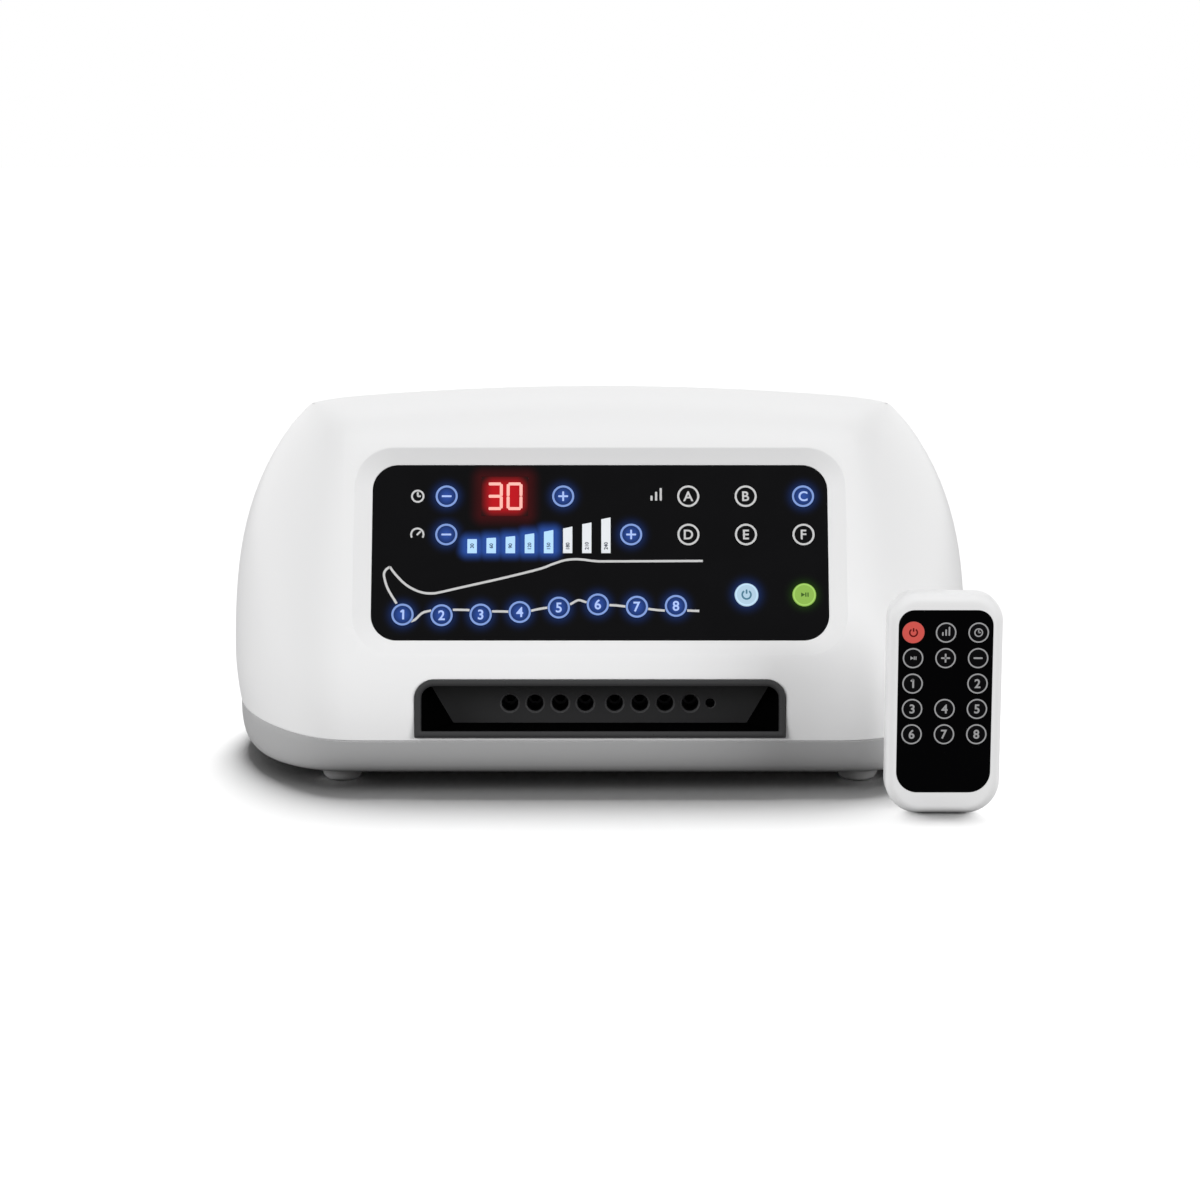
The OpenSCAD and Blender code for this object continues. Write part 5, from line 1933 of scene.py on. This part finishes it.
def dress_works(palette: Palette) -> None:
    """Gives the pieces inside, which keep their CAD shape, their finishes.

    Args:
        palette: the pump's finishes.
    """
    wears = {"case_screws": "steel", "display_board": "board", "key_switches": "switch",
             "air_tubes": "tube", "valve_block": "valve", "valve_rotor": "rotor", "valve_motor": "steel",
             "air_compressor": "casting", "compressor_mounts": "mount", "main_board": "board",
             "transformer": "winding", "remote_board": "board", "coin_cell": "nickel"}
    for node, finish in wears.items():
        mesh = frame["nodes"][node].data
        mesh.materials.clear()
        mesh.materials.append(palette[finish])
        LOG.info("%s keeps its shape, in %s", node, finish)


# ---- The studio ----------------------------------------------------------------------------

@dataclass
class Studio:
    """A plain pale floor, soft light and the camera.

    The floor has a light of its own, from behind, so that the console's shadow falls towards the
    camera. The others light the object alone.
    """

    elevation: float = 10.0
    distance: float = 1.4
    aim: float = 0.0715
    focal_pixels: float = 2835.0
    picture: float = 1200.0
    sensor: float = 36.0
    floor_shade: float = 0.3
    sky: float = 0.15
    ground: float = 3.3
    back: float = 1.3
    front: float = 2.35

    def build(self) -> None:
        """Builds the camera, the floor and the lights."""
        self.build_camera()
        floor = self.build_floor()
        self.build_sky()
        on_floor = self.group("lit_floor", [floor], "INCLUDE")
        off_floor = self.group("lit_object", [floor], "EXCLUDE")
        ground = self.lamp("floor_light", 62.0, 180.0, 24.0, self.ground, on_floor)
        remote = [thing for thing in bpy.context.scene.objects if thing.name.startswith("remote")]
        ground.light_linking.blocker_collection = self.group("soft_shadow", remote, "EXCLUDE")
        self.lamp("back_light", 35.0, 180.0, 40.0, self.back, off_floor)
        self.lamp("left_light", 21.0, -62.0, 30.0, self.front, off_floor)
        self.lamp("right_light", 21.0, 62.0, 30.0, self.front, off_floor)

    def group(self, name: str, things: list[bpy.types.Object], state: str) -> bpy.types.Collection:
        """What a light reaches, or what shades it: some objects alone, or all but them.

        Args:
            name: the collection's name.
            things: the objects.
            state: INCLUDE for them alone, EXCLUDE for all the rest.

        Returns:
            The new collection.
        """
        group = bpy.data.collections.new(name)
        for thing in things:
            group.objects.link(thing)
        for item in group.collection_objects:
            item.light_linking.link_state = state
        return group

    def build_camera(self) -> None:
        """Sets the camera at the photograph's viewing angle."""
        data = bpy.data.cameras.new("camera")
        data.sensor_width = self.sensor
        data.lens = self.sensor * self.focal_pixels / self.picture
        camera = bpy.data.objects.new("camera", data)
        rise = math.radians(self.elevation)
        camera.location = (0, -self.distance * math.cos(rise), self.aim + self.distance * math.sin(rise))
        camera.rotation_euler = (math.radians(90 - self.elevation), 0, 0)
        bpy.context.scene.collection.objects.link(camera)
        bpy.context.scene.camera = camera

    def build_floor(self) -> bpy.types.Object:
        """Lays a wide floor that shows white and keeps the shadow.

        Returns:
            The floor.
        """
        bm = bmesh.new()
        bmesh.ops.create_grid(bm, x_segments=1, y_segments=1, size=12)
        g = Graph("studio floor")
        seen = g.add("LightPath", out="Is Camera Ray")
        shade = g.add("Mix", {"Factor": seen, "A": (self.floor_shade,) * 3 + (1.0,),
                              "B": (1.0,) * 4}, out=2, data_type="RGBA")
        material = g.finish(g.add("BsdfDiffuse", {"Color": shade}))
        floor = make_piece("studio_floor", bm, Matrix.Identity(4), [material])
        return floor

    def build_sky(self) -> None:
        """Makes the sky white to look at, and softer as a light."""
        world = bpy.data.worlds.new("studio")
        world.use_nodes = True
        tree = world.node_tree
        tree.nodes.clear()
        path = tree.nodes.new("ShaderNodeLightPath")
        shown = tree.nodes.new("ShaderNodeMath")
        shown.operation = "MAXIMUM"
        tree.links.new(path.outputs["Is Camera Ray"], shown.inputs[0])
        tree.links.new(path.outputs["Is Glossy Ray"], shown.inputs[1])
        clear = tree.nodes.new("ShaderNodeMath")
        clear.operation = "MAXIMUM"
        tree.links.new(shown.outputs[0], clear.inputs[0])
        tree.links.new(path.outputs["Is Transmission Ray"], clear.inputs[1])
        strength = tree.nodes.new("ShaderNodeMapRange")
        strength.inputs["To Min"].default_value = self.sky
        strength.inputs["To Max"].default_value = 1.0
        tree.links.new(clear.outputs[0], strength.inputs["Value"])
        background = tree.nodes.new("ShaderNodeBackground")
        background.inputs["Color"].default_value = (1.0, 1.0, 1.0, 1.0)
        tree.links.new(strength.outputs["Result"], background.inputs["Strength"])
        output = tree.nodes.new("ShaderNodeOutputWorld")
        tree.links.new(background.outputs[0], output.inputs["Surface"])
        bpy.context.scene.world = world

    def lamp(self, name: str, height: float, turn: float, spread: float, strength: float,
             reaches: bpy.types.Collection) -> bpy.types.Object:
        """Hangs a soft far light, which shiny surfaces don't mirror.

        Args:
            name: its name.
            height: its angle above the floor, in degrees.
            turn: its angle to the right of the camera, in degrees.
            spread: how wide it is, in degrees.
            strength: its strength.
            reaches: what it lights.

        Returns:
            The light.
        """
        data = bpy.data.lights.new(name, "SUN")
        data.energy = strength
        data.angle = math.radians(spread)
        lamp = bpy.data.objects.new(name, data)
        lamp.rotation_euler = (math.radians(90 - height), 0, math.radians(turn))
        lamp.visible_glossy = False
        lamp.light_linking.receiver_collection = reaches
        bpy.context.scene.collection.objects.link(lamp)
        return lamp


def main() -> None:
    """Builds the pump and its studio."""
    logging.basicConfig(level=logging.INFO, format="%(message)s")
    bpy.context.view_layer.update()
    bpy.context.scene.view_settings.view_transform = "Standard"
    palette = Palette(Finishes())
    form = HousingForm()
    panel = PanelPlace(form)
    bay = HoseBay(form, palette)
    UpperShell(form, panel, palette, bay).build()
    BasePan(form, palette).build()
    Feet(palette).build()
    KeyPanel(panel, palette).build()
    bay.build()
    PowerInlet(form, palette).build()
    RemoteControl(palette).build()
    dress_works(palette)
    Studio().build()


if __name__ == "__main__":
    main()
